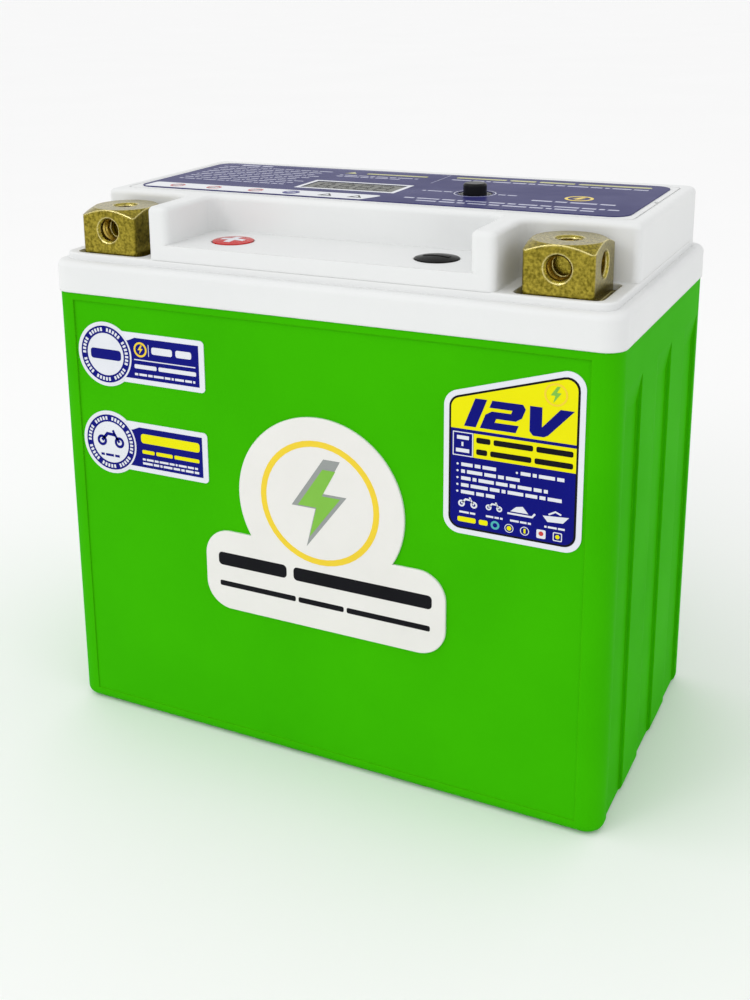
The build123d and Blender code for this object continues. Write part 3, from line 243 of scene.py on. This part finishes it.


def painted_edge_highlight(nodes, link, soft, tint, edge):
    """Mixes in a painted highlight, the edge's colour, where the rounded normal leaves the face's own.
    Returns the socket.
    """
    faces = nodes.new("ShaderNodeNewGeometry")
    turn = nodes.new("ShaderNodeVectorMath")
    turn.operation = "DOT_PRODUCT"
    link(soft.outputs["Normal"], turn.inputs[0])
    link(faces.outputs["Normal"], turn.inputs[1])
    highlight = nodes.new("ShaderNodeMapRange")
    highlight.inputs["From Min"].default_value, highlight.inputs["From Max"].default_value = HIGHLIGHT_LIMITS
    link(turn.outputs["Value"], highlight.inputs["Value"])
    mix = nodes.new("ShaderNodeMix")
    mix.data_type = "RGBA"
    link(highlight.outputs["Result"], mix.inputs["Factor"])
    link(tint.outputs["Color"], mix.inputs["A"])
    mix.inputs["B"].default_value = (*edge, 1.0)
    return mix.outputs["Result"]


def finish(
    name,
    colour,
    shade,
    roughness,
    metallic=0.0,
    specular=0.5,
    alpha=1.0,
    grain=0.4,
    depth=0.01,
    patch=12.0,
    spread=0.08,
    stretch=(1.0, 1.0, 1.0),
    edge=None,
    edge_radius=0.0,
    pores=False,
):
    """A material with grain in its surface and patches in its colour and gloss.

    colour and shade are the patches' two colours, patch is their size, and spread is how far
    their roughness varies. grain and depth are the width and height of the surface's relief, and
    pores makes it cellular. edge is the colour of a painted highlight along rounded edges, edge_radius wide.
    """
    made = bpy.data.materials.new(name)
    made.use_nodes = True
    nodes, link = made.node_tree.nodes, made.node_tree.links.new
    shader = nodes["Principled BSDF"]
    shader.inputs["Metallic"].default_value = metallic
    shader.inputs["Specular IOR Level"].default_value = specular
    shader.inputs["Alpha"].default_value = alpha
    place = nodes.new("ShaderNodeTexCoord")
    scale = nodes.new("ShaderNodeMapping")
    scale.inputs["Scale"].default_value = stretch
    link(place.outputs["Object"], scale.inputs["Vector"])
    # patches of colour and of gloss
    patches = nodes.new("ShaderNodeTexNoise")
    patches.inputs["Scale"].default_value = 1 / (patch * MM)
    patches.inputs["Detail"].default_value = 6.0
    link(scale.outputs["Vector"], patches.inputs["Vector"])
    tint = nodes.new("ShaderNodeValToRGB")
    for stop, position, value in zip(tint.color_ramp.elements, PATCH_LIMITS, (shade, colour)):
        stop.position = position
        stop.color = (*value, 1.0)
    link(patches.outputs["Fac"], tint.inputs["Fac"])
    gloss = nodes.new("ShaderNodeMapRange")
    gloss.inputs["To Min"].default_value = roughness + spread
    gloss.inputs["To Max"].default_value = max(roughness - spread, LEAST_ROUGHNESS)
    link(patches.outputs["Fac"], gloss.inputs["Value"])
    link(gloss.outputs["Result"], shader.inputs["Roughness"])
    # grain
    if pores:
        fine = nodes.new("ShaderNodeTexVoronoi")
        height = fine.outputs["Distance"]
    else:
        fine = nodes.new("ShaderNodeTexNoise")
        fine.inputs["Detail"].default_value = 3.0
        height = fine.outputs["Fac"]
    fine.inputs["Scale"].default_value = 1 / (grain * MM)
    link(scale.outputs["Vector"], fine.inputs["Vector"])
    bump = nodes.new("ShaderNodeBump")
    bump.inputs["Distance"].default_value = depth * MM
    link(height, bump.inputs["Height"])
    link(bump.outputs["Normal"], shader.inputs["Normal"])
    base = tint.outputs["Color"]
    if edge_radius:
        soft = nodes.new("ShaderNodeBevel")
        soft.samples = 4
        soft.inputs["Radius"].default_value = edge_radius * MM
        link(soft.outputs["Normal"], bump.inputs["Normal"])
        # painted highlight: a lighter colour along the rounded edges
        if edge:
            base = painted_edge_highlight(nodes, link, soft, tint, edge)
    link(base, shader.inputs["Base Color"])
    return made


def ink(name, colour, shade, roughness=0.25, grain=1.2, specular=0.5):
    """A printed colour, with hardly any relief."""
    return finish(name, colour, shade, roughness, grain=grain, depth=0.003, specular=specular)


BLUE = ink("blue_print", (0.0, 0.002, 0.19), (0.0, 0.001, 0.165), 0.3, specular=0.1)
BLACK = ink("ink_print", (0.003, 0.003, 0.006), (0.001, 0.001, 0.003), 0.35, specular=0.12)
WHITE = ink("white_print", (0.74, 0.76, 0.8), (0.69, 0.71, 0.76), specular=0.2)
FAINT = ink("faint_print", (0.42, 0.43, 0.58), (0.36, 0.37, 0.52))
YELLOW = ink("yellow_print", (0.8, 0.77, 0.0), (0.77, 0.73, 0.0), 0.3, specular=0.1)
GOLD = ink("gold_print", (0.84, 0.62, 0.01), (0.8, 0.57, 0.01), 0.3)
DULL_GOLD = ink("dull_gold_print", (0.42, 0.42, 0.1), (0.36, 0.36, 0.08), grain=0.4)
RED = ink("red_print", (0.55, 0.03, 0.03), (0.48, 0.02, 0.02))
TEAL = ink("teal_print", (0.05, 0.42, 0.42), (0.04, 0.36, 0.37))
GREEN = ink("green_print", (0.2, 0.5, 0.04), (0.17, 0.45, 0.03), 0.3)
GREY = ink("grey_print", (0.3, 0.32, 0.31), (0.25, 0.27, 0.26))
EMBLEM_FILM = finish("emblem_film", (0.78, 0.77, 0.74), (0.75, 0.74, 0.71), 0.2, grain=1.5, depth=0.004)
THREAD = finish(
    "thread_brass", (0.7, 0.52, 0.12), (0.3, 0.2, 0.03), 0.22, metallic=1.0, grain=0.3, patch=1.5
)

SLOT_MATERIALS = {
    # edge is a painted highlight: a lighter green along the rounded edges
    "case_green": finish(
        "case_green", (0.042, 0.45, 0.0), (0.036, 0.41, 0.0), 0.62, specular=0.02,
        grain=0.35, depth=0.014, patch=30.0, edge=(0.055, 0.52, 0.0), edge_radius=0.6,
    ),
    # edge is a painted highlight: a lighter white along the rounded edges
    "lid_white": finish(
        "lid_white", (0.77, 0.78, 0.775), (0.745, 0.755, 0.755), 0.34, specular=0.06,
        grain=0.35, depth=0.006, patch=25.0, edge=(0.85, 0.86, 0.85), edge_radius=0.6,
    ),
    "label_navy": finish(
        "navy_film", (0.03, 0.03, 0.14), (0.024, 0.024, 0.12), 0.3, grain=1.6, specular=0.02
    ),
    "label_blue": BLUE,
    "label_white": finish(
        "white_film", (0.74, 0.76, 0.82), (0.71, 0.73, 0.79), 0.22, specular=0.2, grain=1.5, depth=0.004
    ),
    "clear_lens": finish(
        "clear_lens", (0.13, 0.135, 0.115), (0.11, 0.115, 0.095), 0.1,
        specular=0.03, alpha=0.88, depth=0.002, spread=0.02,
    ),
    "display_glass": finish(
        "display_glass", (0.26, 0.27, 0.2), (0.23, 0.24, 0.17), 0.3, specular=0.1, grain=0.2, depth=0.002
    ),
    "white_plastic": finish("white_plastic", (0.8, 0.8, 0.76), (0.76, 0.76, 0.72), 0.4, depth=0.006),
    "button_black": finish(
        "button_black", (0.012, 0.012, 0.014), (0.005, 0.005, 0.007), 0.3,
        specular=0.12, grain=0.25, edge_radius=0.25,
    ),
    "black_plastic": finish("black_plastic", (0.02, 0.02, 0.02), (0.012, 0.012, 0.012), 0.45, depth=0.012),
    "marker_red": finish(
        "marker_red", (0.58, 0.008, 0.006), (0.5, 0.005, 0.004), 0.12, specular=0.12, grain=1.5, depth=0.006
    ),
    "marker_black": finish(
        "marker_black", (0.008, 0.008, 0.008), (0.003, 0.003, 0.003), 0.08,
        specular=0.03, grain=1.5, depth=0.004,
    ),
    # edge is a painted highlight: bright brass along the rounded edges and chamfers
    "brass": finish(
        "brass", (0.42, 0.34, 0.045), (0.13, 0.105, 0.01), 0.2, metallic=1.0,
        grain=0.3, depth=0.03, patch=0.6, spread=0.1, edge=(1.0, 0.88, 0.42), edge_radius=0.45,
    ),
    "seal_rubber": finish("seal_rubber", (0.02, 0.02, 0.02), (0.01, 0.01, 0.01), 0.7, depth=0.02),
    "tinned_lug": finish("tinned_lug", (0.7, 0.7, 0.68), (0.6, 0.6, 0.58), 0.3, metallic=1.0, grain=0.5),
    "lead_red": finish("lead_red", (0.4, 0.01, 0.01), (0.34, 0.008, 0.008), 0.5, grain=0.6),
    "lead_black": finish("lead_black", (0.015, 0.015, 0.015), (0.01, 0.01, 0.01), 0.5, grain=0.6),
    "cable_grey": finish("cable_grey", (0.3, 0.3, 0.3), (0.24, 0.24, 0.24), 0.5, stretch=(6.0, 1.0, 0.1)),
    "nickel": finish(
        "nickel", (0.6, 0.57, 0.52), (0.5, 0.48, 0.44), 0.3, metallic=1.0, stretch=(0.1, 1.0, 1.0)
    ),
    "insulation": finish("insulation", (0.03, 0.05, 0.04), (0.02, 0.035, 0.03), 0.6, grain=0.8, depth=0.05),
    "foam": finish("foam", (0.03, 0.03, 0.03), (0.015, 0.015, 0.015), 0.9, grain=0.9, depth=0.25, pores=True),
    "board_green": finish("board_green", (0.004, 0.1, 0.03), (0.002, 0.06, 0.018), 0.3, grain=1.2, patch=3.0),
    "screw_steel": finish("screw_steel", (0.5, 0.5, 0.5), (0.4, 0.4, 0.4), 0.3, metallic=1.0, grain=0.2),
    "spring_steel": finish("spring_steel", (0.6, 0.6, 0.6), (0.5, 0.5, 0.5), 0.2, metallic=1.0, grain=0.2),
    "spreader_aluminium": finish(
        "spreader_aluminium", (0.7, 0.71, 0.72), (0.6, 0.61, 0.62), 0.35,
        metallic=1.0, stretch=(0.05, 1.0, 1.0),
    ),
    "cell_sleeve": finish("cell_sleeve", (0.01, 0.05, 0.22), (0.008, 0.04, 0.18), 0.3, grain=2.0, depth=0.03),
}

for part in frame["record"]["subparts"]:
    material = SLOT_MATERIALS[part["material_slot"]]
    if part["node"] == "emblem_label":
        material = EMBLEM_FILM
    node = frame["nodes"][part["node"]]
    node.data.materials.clear()
    node.data.materials.append(material)


# ---------------------------------------------------------------- badges on the front
def badge_base(name):
    """What both badges share: a blue field, and a white disc in a marked blue ring. Returns the place."""
    low, high, middle = box(name)
    radius = middle.z - low.z
    margin = 1.4  # right of the blue field
    count, group = 44, 6  # marks round the ring, with every sixth left out
    place = on_front(low.x + radius, middle.z, low.y)
    end = high.x - low.x - radius - margin
    field = [(4.0, -4.9), (end, -4.9), (end, 4.9), (8.4, 4.9), (6.8, 4.2), (4.0, 3.4)]
    marks = []
    for step in range(count):
        if step % group == group - 1:
            continue
        turn = 2 * math.pi * step / count
        out = Vector((math.cos(turn), math.sin(turn)))
        across = Vector((-out.y, out.x)) * 0.26
        inner, outer = out * (radius - 2.2), out * (radius - 1.35)
        corners = (inner - across, outer - across, outer + across, inner + across)
        marks.append([[tuple(corner) for corner in corners]])
    piece(f"{name}_field", [[field]], place, 1, BLUE)
    piece(f"{name}_disc", [[disc(0, 0, radius - 0.45)]], place, 2, WHITE)
    piece(f"{name}_ring", [ring(0, 0, radius - 0.9, radius - 2.65)], place, 3, BLUE)
    piece(f"{name}_marks", marks, place, 4, WHITE)
    return place


def upper_badge():
    """A bar in the disc, and on the field a round sign, two titles and a line of print."""
    place = badge_base("upper_badge")
    sign = [ring(9.9, 2.2, 1.8, 1.35, 24), [bolt(9.9, 2.2, 1.1)]]
    lines = title(13.0, 23.8, 2.3, 1.7, (4, 3))
    lines += [[block(8.1, 24.8, -0.3, 0.25)], [block(12.1, 12.25, 2.2, 2.8)]]
    lines += title(8.1, 24.9, -1.9, 1.0, (3, 5))
    lines += row(8.1, 24.6, -3.8, 0.55)
    piece("upper_badge_word", title(-4.2, 4.4, 0.0, 2.5), place, 3, BLUE)
    piece("upper_badge_sign", sign, place, 2, GOLD)
    piece("upper_badge_lines", lines, place, 2, WHITE)


def lower_badge():
    """A vehicle in the disc, and on the field a large title and smaller lines."""
    place = badge_base("lower_badge")
    titles = title(8.8, 25.0, 2.3, 2.3) + title(9.0, 24.8, -1.0, 0.9, (3, 4, 6))
    lines = row(9.0, 24.6, -2.9, 0.5) + row(9.0, 24.6, -3.9, 0.55, 3)
    piece("lower_badge_vehicle", two_wheeler(0, 0.2, 2.5), place, 3, BLUE)
    piece("lower_badge_caption", row(-3.0, 3.0, -3.3, 0.6), place, 3, BLUE)
    piece("lower_badge_title", titles, place, 2, YELLOW)
    piece("lower_badge_lines", lines, place, 2, WHITE)


# ---------------------------------------------------------------- emblem on the front
def emblem():
    """A gold ring with a bolt on the round head, and two lines on the foot."""
    low, high, middle = box("emblem_label")
    head_radius = 20.4
    y = high.z - low.z - head_radius + 0.6
    place = on_front(middle.x, low.z, low.y)
    piece("emblem_ring", [ring(0, y, 14.6, 13.2)], place, 1, GOLD)
    piece("emblem_bolt_edge", [[bolt(0, y, 10.6)]], place, 1, GREY)
    piece("emblem_bolt", [[bolt(0.05, y, 8.2)]], place, 2, GREEN)
    piece("emblem_title", title(-26.4, 26.8, 12.6, 3.2, (8, 15)), place, 1, BLACK)
    piece("emblem_caption", title(-26.2, 26.4, 6.4, 1.3, (7, 4, 7)), place, 1, BLACK)


# ---------------------------------------------------------------- voltage label on the front
DIVIDER, BAND_FOOT = 22.4, 17.2  # heights of the dark divider and of the foot of the yellow band
BAND_MIDDLE, BAND_HEIGHT = (DIVIDER + BAND_FOOT) / 2, DIVIDER - BAND_FOOT


def voltage_fields(place, width, height):
    """The dark outline, the blue field and the yellow parts."""
    slope = 8.8  # how much lower the top edge's left end is
    outline = [(0, 0), (width, 0), (width, height), (0, height - slope)]
    inner = rounded(inset(outline, 1.6), 2.2)
    band = block(6.5, width - 1.55, BAND_MIDDLE, BAND_HEIGHT)
    piece("voltage_line", [[rounded(inset(outline, 1.15), 2.6)]], place, 1, BLACK)
    piece("voltage_field", [[inner]], place, 2, BLUE)
    piece("voltage_yellow", [[above(inner, DIVIDER + 0.7)], [band]], place, 3, YELLOW)


def voltage_figures(place):
    """12V, in angular figures that lean to the right."""
    one = [(0.0, 0.0), (2.4, 0.0), (2.4, 5.9), (0.0, 5.9)]
    two = [
        (0.0, 0.0), (7.2, 0.0), (7.2, 1.5), (2.4, 1.5), (2.4, 2.3), (6.3, 2.3), (7.2, 3.1), (7.2, 5.0),
        (6.3, 5.9), (0.2, 5.9), (0.2, 4.4), (4.8, 4.4), (4.8, 3.7), (1.0, 3.7), (0.0, 2.9),
    ]
    volt = [
        (0.0, 0.8), (0.7, 0.0), (2.8, 0.0), (3.6, 0.4), (8.6, 5.9), (5.9, 5.9),
        (2.4, 1.9), (2.4, 5.9), (0.0, 5.9),
    ]
    slant, widen, stretch, foot = 0.38, 1.05, 1.04, DIVIDER + 1.4
    figures = []
    for glyph, start, lean in ((one, 4.4, slant), (two, 7.8, slant), (volt, 18.2, 0.0)):
        figures.append([[(start + (x + lean * y) * widen, foot + y * stretch) for x, y in glyph]])
    piece("voltage_figures", figures, place, 4, BLUE)


def voltage_text():
    """The white box in the band, and the bulleted lines below it."""
    frame_width = 0.2
    outer = block(2.0, 6.4, BAND_MIDDLE, BAND_HEIGHT)
    inner = block(2.0 + frame_width, 6.4 - frame_width, BAND_MIDDLE, BAND_HEIGHT - 2 * frame_width)
    shapes = [[outer, inner]]
    shapes.append([block(2.9, 5.5, BAND_MIDDLE + 1.4, 0.8)])
    shapes.append([block(3.9, 4.3, BAND_MIDDLE, 0.9)])
    shapes.append([block(2.7, 5.6, BAND_MIDDLE - 1.4, 0.8)])
    first_line, line_height, text_height, bullet = 15.4, 1.5, 0.75, 0.24
    for index, end in enumerate((12.2, 17.2, 22.3, 25.9, 11.2)):
        level = first_line - index * line_height
        shapes += row(3.9, end, level, text_height, int(level))
        shapes.append([disc(3.1, level, bullet, 12)])
    shapes += row(16.6, 25.6, first_line, text_height, 4)
    shapes.append([disc(15.8, first_line, bullet, 12)])
    return shapes


def voltage_vehicles():
    """Two two-wheelers, a sledge and a boat, each with a caption."""
    shapes = two_wheeler(5.4, 6.8, 1.35) + two_wheeler(11.1, 6.9, 1.15)
    shapes.append([stroke([(14.0, 6.4), (19.2, 6.4), (19.8, 7.2)], 0.4)])
    shapes.append([[(14.6, 6.9), (18.4, 6.9), (17.2, 8.3), (15.8, 8.0)]])
    shapes.append([[(21.4, 7.2), (26.8, 7.6), (25.6, 6.2), (22.4, 6.0)]])
    shapes.append([stroke([(22.6, 7.6), (24.0, 8.4), (25.2, 7.9)], 0.35)])
    for start, end in ((3.6, 7.6), (9.4, 13.0), (14.6, 19.0), (21.8, 26.2)):
        shapes += row(start, end, 4.9, 0.42, int(start))
    return shapes


def voltage_signs():
    """The white parts of the signs in the lowest line."""
    rings = [ring(x, 3.1, 0.95, 0.8, 20) for x in (14.4, 17.7)]
    tile = [rounded(block(20.2, 22.1, 3.1, 1.9), 0.25, 2)]
    window = [rounded(block(23.6, 25.5, 3.1, 1.9), 0.25, 2), rounded(block(23.8, 25.3, 3.1, 1.5), 0.15, 2)]
    return rings + [tile, window]


def voltage_label():
    """The voltage sticker: 12V on yellow, a yellow band of print, and white print on blue."""
    low, high, _ = box("voltage_label")
    peak = 1.24  # what the rounding takes off the highest corner
    width, height = high.x - low.x, high.z - low.z + peak
    place = on_front(low.x, low.z, low.y)
    voltage_fields(place, width, height)
    voltage_figures(place)
    piece("voltage_sign", [ring(23.4, 32.9, 2.4, 2.0, 28)], place, 4, GOLD)
    piece("voltage_sign_core", [[bolt(23.4, 32.9, 1.7)]], place, 4, GREEN)
    end = width - 2.15
    band = title(7.1, end, BAND_MIDDLE + 1.25, 1.2, (4, 11, 10))
    band += title(7.1, end, BAND_MIDDLE - 1.25, 1.2, (3, 11, 10))
    piece("voltage_band_print", band, place, 4, BLACK)
    lines = voltage_text() + voltage_vehicles() + voltage_signs()
    piece("voltage_lines", lines, place, 3, WHITE)
    marks = title(3.2, 7.2, 3.3, 1.1) + title(7.9, 9.8, 3.3, 1.1)
    marks += [[disc(14.4, 3.1, 0.5, 14)], [block(17.5, 17.9, 3.1, 1.0)], [disc(24.55, 3.1, 0.45, 14)]]
    piece("voltage_marks", marks, place, 3, YELLOW)
    piece("voltage_ring", [ring(11.4, 3.2, 0.95, 0.5, 20)], place, 3, TEAL)
    piece("voltage_dot", [[disc(21.15, 3.2, 0.5, 14)]], place, 4, RED)


# ---------------------------------------------------------------- print on the top label
def strip_signs(place, end, y):
    """Three ringed signs, a blue disc and two triangles, on the white strip that ends at end."""
    ringed, blue, triangles = (end - 54.0, end - 43.6, end - 32.0), end - 22.4, (end - 13.0, end - 5.4)
    rings = [ring(x, y, 1.9, 1.45, 28) for x in ringed]
    dark = [[stroke([(x - 1.2, y - 1.0), (x + 1.1, y + 1.0)], 0.5)] for x in ringed]
    for x in triangles:
        triangle = [(x - 1.8, y - 1.4), (x + 1.8, y - 1.4), (x, y + 1.6)]
        dark.append([triangle, inset(triangle, 0.45)])
    piece("top_icons_red", rings, place, 2, RED)
    piece("top_icon_blue", [[disc(blue, y, 2.1)]], place, 2, BLUE)
    piece("top_icons_dark", dark, place, 2, BLACK)
    piece("top_icon_bar", [[block(blue - 1.2, blue + 1.2, y, 0.6)]], place, 3, WHITE)


def top_print(place, half, window_left, window_right, button):
    """The print round the window and the button."""
    left, right, top = 3.2 - half, half - 4.0, 18.2
    lines = row(left + 4.0, left + 15.0, top, 1.4, 1)
    for index in range(9):
        ragged = (index % 3) * 1.3
        lines += row(left, window_left - 3.2 - ragged, 15.2 - index * 2.75, 0.75, index)
    lines += row(window_left + 0.5, window_right - 2.0, 11.6, 0.8, 5)
    lines += row(window_left + 0.5, window_right - 5.0, 9.6, 0.8, 2)
    lines += row(button.x - 12.5, right, 13.6, 1.0, 3)
    lines += row(button.x - 13.0, half - 3.4, -14.4, 1.1, 2)
    lines += row(button.x - 9.0, half - 8.0, -17.2, 1.1, 6)
    lines += row(button.x + 15.0, half - 4.6, -8.4, 1.2, 1)
    lines += row(button.x - 13.0, button.x - 5.6, button.y, 0.8, 5)
    lines += row(button.x + 5.6, button.x + 10.0, button.y, 0.8, 2)
    piece("top_lines", lines, place, 1, FAINT)
    rules = [[block(left - 1.2, window_right + 3.4, 19.9, 0.16)]]
    rules.append([block(window_right + 3.3, window_right + 3.46, 13.2, 13.4)])
    rules.append(ring(button.x, button.y, 4.9, 4.6))
    piece("top_rules", rules, place, 1, FAINT)
    titles = title(window_left + 6.4, window_right - 1.0, 15.4, 1.5)
    titles += title(button.x - 12.5, right, 17.0, 1.7, (6, 3, 4, 8))
    titles.append([[(window_left + 0.6, 14.5), (window_left + 3.8, 14.5), (window_left + 2.2, 17.0)]])
    piece("top_titles", titles, place, 1, DULL_GOLD)
    sign_x, sign_y = button.x + 24.0, -2.6
    sign = [ring(sign_x, sign_y, 3.2, 2.5, 32), [bolt(sign_x, sign_y, 2.2)]]
    piece("top_sign", sign, place, 1, GOLD)


def top_label():
    """All print on the top label. Its zero is the label's middle."""
    low, high, middle = box("top_label")
    half, deep = high.x - middle.x, high.y - middle.y
    place = on_top(middle.x, middle.y, high.z)
    gap, border, lap = 0.15, 1.1, 0.02  # lens to label, the frame's width, frame over the label's edge
    window_low, window_high, window = box("display_lens")
    left, right = window_low.x - middle.x - gap, window_high.x - middle.x + gap
    y, tall = window.y - middle.y, window_high.y - window_low.y + 2 * gap
    outer = block(left - border, right + border, y, tall + 2 * border)
    inner = block(left + lap, right - lap, y, tall - 2 * lap)
    start, end, foot, head = 1.6 - half, right + 0.4, 0.6 - deep, 7.0 - deep  # of the white strip
    strip = rounded([(start, foot), (end - 3.0, foot), (end, head), (start, head)], 1.0)
    button = box("button_cap")[2] - middle
    piece("top_strip", [[strip]], place, 1, WHITE)
    piece("top_window_frame", [[outer, inner]], place, 1, WHITE)
    strip_signs(place, end, (foot + head) / 2)
    top_print(place, half, left, right, button)


# ---------------------------------------------------------------- figures of the display
def display_figures():
    """Four figures of seven segments, each with a point."""
    _, high, middle = box("display_lens")
    place = on_top(middle.x, middle.y, high.z)
    first, step, tall, wide, thick, joint = -7.8, 5.2, 3.1, 1.5, 0.5, 0.4
    segments = []
    for digit in range(4):
        x = first + digit * step
        for level in (-tall, 0.0, tall):
            segments.append([block(x - wide + 0.3, x + wide - 0.3, level, thick)])
        for side in (x - wide, x + wide):
            for level in (-tall / 2, tall / 2):
                segments.append([block(side - thick / 2, side + thick / 2, level, tall - 2 * joint)])
        segments.append([disc(x + 2.5, -tall, 0.3, 10)])
    piece("display_figures", segments, place, 1, BLACK)


# ---------------------------------------------------------------- signs on the two markers
def marker_place(name, crown):
    """A place on a marker's dome."""
    low, high, middle = box(name)
    return on_dome(middle.x, middle.y, high.z, middle.x - low.x, crown)


def marker_signs():
    """A white plus on the red marker and a black minus on the black one."""
    arm, wing = 2.9, 0.75
    quarter = [(wing, wing), (wing, arm), (-wing, arm), (-wing, wing), (-arm, wing), (-arm, -wing)]
    plus = quarter + [(-x, -y) for x, y in quarter]
    place = marker_place("plus_marker", 0.25)
    piece("plus_sign", [[plus]], place, 2, WHITE, cuts=2)
    minus = block(-arm, arm, 0.0, 2 * wing)
    place = marker_place("minus_marker", 0.6)
    piece("minus_sign", [[minus]], place, 4, SLOT_MATERIALS["marker_black"], cuts=5)


# ---------------------------------------------------------------- threads in the terminals' holes
PITCH = 1.0
CREST, ROOT = 2.2, 2.56  # radii of the ridge's crest and of its foot, which is just inside the metal
HALF_BASE = 0.4  # half the ridge's width at its foot
TURN_STEPS, RUN_OUT = 28, 10  # steps in a turn, and over which the ridge rises and fades
FAINTEST = 0.1  # share of the ridge's height that is left at its ends
START, SPARE = 0.1, 0.9  # depth at which the ridge starts, and the length of hole without it


def thread(mount):
    """A helical ridge in a threaded hole."""
    mouth = Vector(mount["pos_m"])
    axis = Vector(mount["axis"])
    side = axis.orthogonal().normalized()
    other = axis.cross(side)
    steps = int((mount["dims"]["length_mm"] - SPARE) / PITCH * TURN_STEPS)
    mesh = bmesh.new()
    rows = []
    for step in range(steps + 1):
        angle = 2 * math.pi * step / TURN_STEPS
        depth = START + PITCH * step / TURN_STEPS
        ease = max(min(1.0, step / RUN_OUT, (steps - step) / RUN_OUT), FAINTEST)
        around = side * math.cos(angle) + other * math.sin(angle)
        rim = ((ROOT, -HALF_BASE), (ROOT - (ROOT - CREST) * ease, 0.0), (ROOT, HALF_BASE))
        points = [mouth + (around * radius - axis * (depth + shift)) * MM for radius, shift in rim]
        rows.append([mesh.verts.new(point) for point in points])
    for first, second in zip(rows, rows[1:]):
        for i in range(3):
            mesh.faces.new((first[i], first[i - 1], second[i - 1], second[i]))
    mesh.faces.new(rows[0])
    mesh.faces.new(rows[-1])
    finished(f"{mount['name']}_ridge", mesh, THREAD)


upper_badge()
lower_badge()
emblem()
voltage_label()
top_label()
display_figures()
marker_signs()
for mount in frame["record"]["mounts"]:
    if mount["kind"] == "threaded_hole":
        thread(mount)


# ---------------------------------------------------------------- stage, light and camera, in metres
FLOOR_REACH, FLOOR_DROP = 40.0, 0.0003
LIGHT_TARGET = Vector((0, 0, 0.065))


def stage():
    """A pale floor just under the battery, and a white world."""
    r = FLOOR_REACH
    floor_mesh = bpy.data.meshes.new("floor")
    floor_mesh.from_pydata([(-r, -r, 0), (r, -r, 0), (r, r, 0), (-r, r, 0)], [], [(0, 1, 2, 3)])
    floor_mesh.materials.append(
        finish("pale_floor", (0.92, 0.92, 0.92), (0.91, 0.91, 0.91), 0.8, grain=2.0, patch=200.0)
    )
    floor = bpy.data.objects.new("floor", floor_mesh)
    floor.location.z = -FLOOR_DROP
    bpy.context.scene.collection.objects.link(floor)
    world = bpy.data.worlds.new("studio")
    world.use_nodes = True
    background = world.node_tree.nodes["Background"]
    background.inputs["Color"].default_value = (1.0, 1.0, 1.0, 1.0)
    background.inputs["Strength"].default_value = 0.92
    bpy.context.scene.world = world


def lamp(name, kind, location, energy, spread):
    """A soft light that faces the battery's middle. spread is a sun's angle or a softbox's side."""
    light = bpy.data.lights.new(name, kind)
    light.energy = energy
    if kind == "SUN":
        light.angle = math.radians(spread)
    else:
        light.size = spread
    made = bpy.data.objects.new(name, light)
    made.location = location
    made.rotation_euler = (LIGHT_TARGET - Vector(location)).to_track_quat("-Z", "Y").to_euler()
    bpy.context.scene.collection.objects.link(made)


def camera(position, azimuth, elevation, roll, focal, shift):
    """The scene's camera. Its angles are in degrees, and azimuth 0 looks along +Y."""
    turn, tilt, twist = (math.radians(angle) for angle in (azimuth, elevation, roll))
    backward = Vector((math.sin(turn) * math.cos(tilt), -math.cos(turn) * math.cos(tilt), math.sin(tilt)))
    level = Vector((0, 0, 1)).cross(backward).normalized()
    upright = backward.cross(level)
    camera_x = level * math.cos(twist) + upright * math.sin(twist)
    camera_y = upright * math.cos(twist) - level * math.sin(twist)
    lens = bpy.data.cameras.new("camera")
    lens.sensor_width = 36.0
    lens.lens = focal
    lens.shift_x, lens.shift_y = shift
    lens.clip_start = 0.01
    made = bpy.data.objects.new("camera", lens)
    axes = Matrix((camera_x, camera_y, backward)).transposed().to_4x4()
    made.matrix_world = Matrix.Translation(position) @ axes
    bpy.context.scene.collection.objects.link(made)
    bpy.context.scene.camera = made


stage()
lamp("key", "SUN", (-0.7, -1.0, 1.2), 0.5, 70.0)
lamp("gleam", "AREA", (-0.35, -0.7, 0.55), 0.7, 0.25)
lamp("edge", "AREA", (0.9, 0.1, 0.5), 0.25, 0.3)
camera(
    position=(0.12589, -0.27486, 0.17616),
    azimuth=28.280,
    elevation=14.906,
    roll=-1.221,
    focal=46.98,
    shift=(0.075, -0.175),
)
bpy.context.scene.view_settings.view_transform = "Standard"
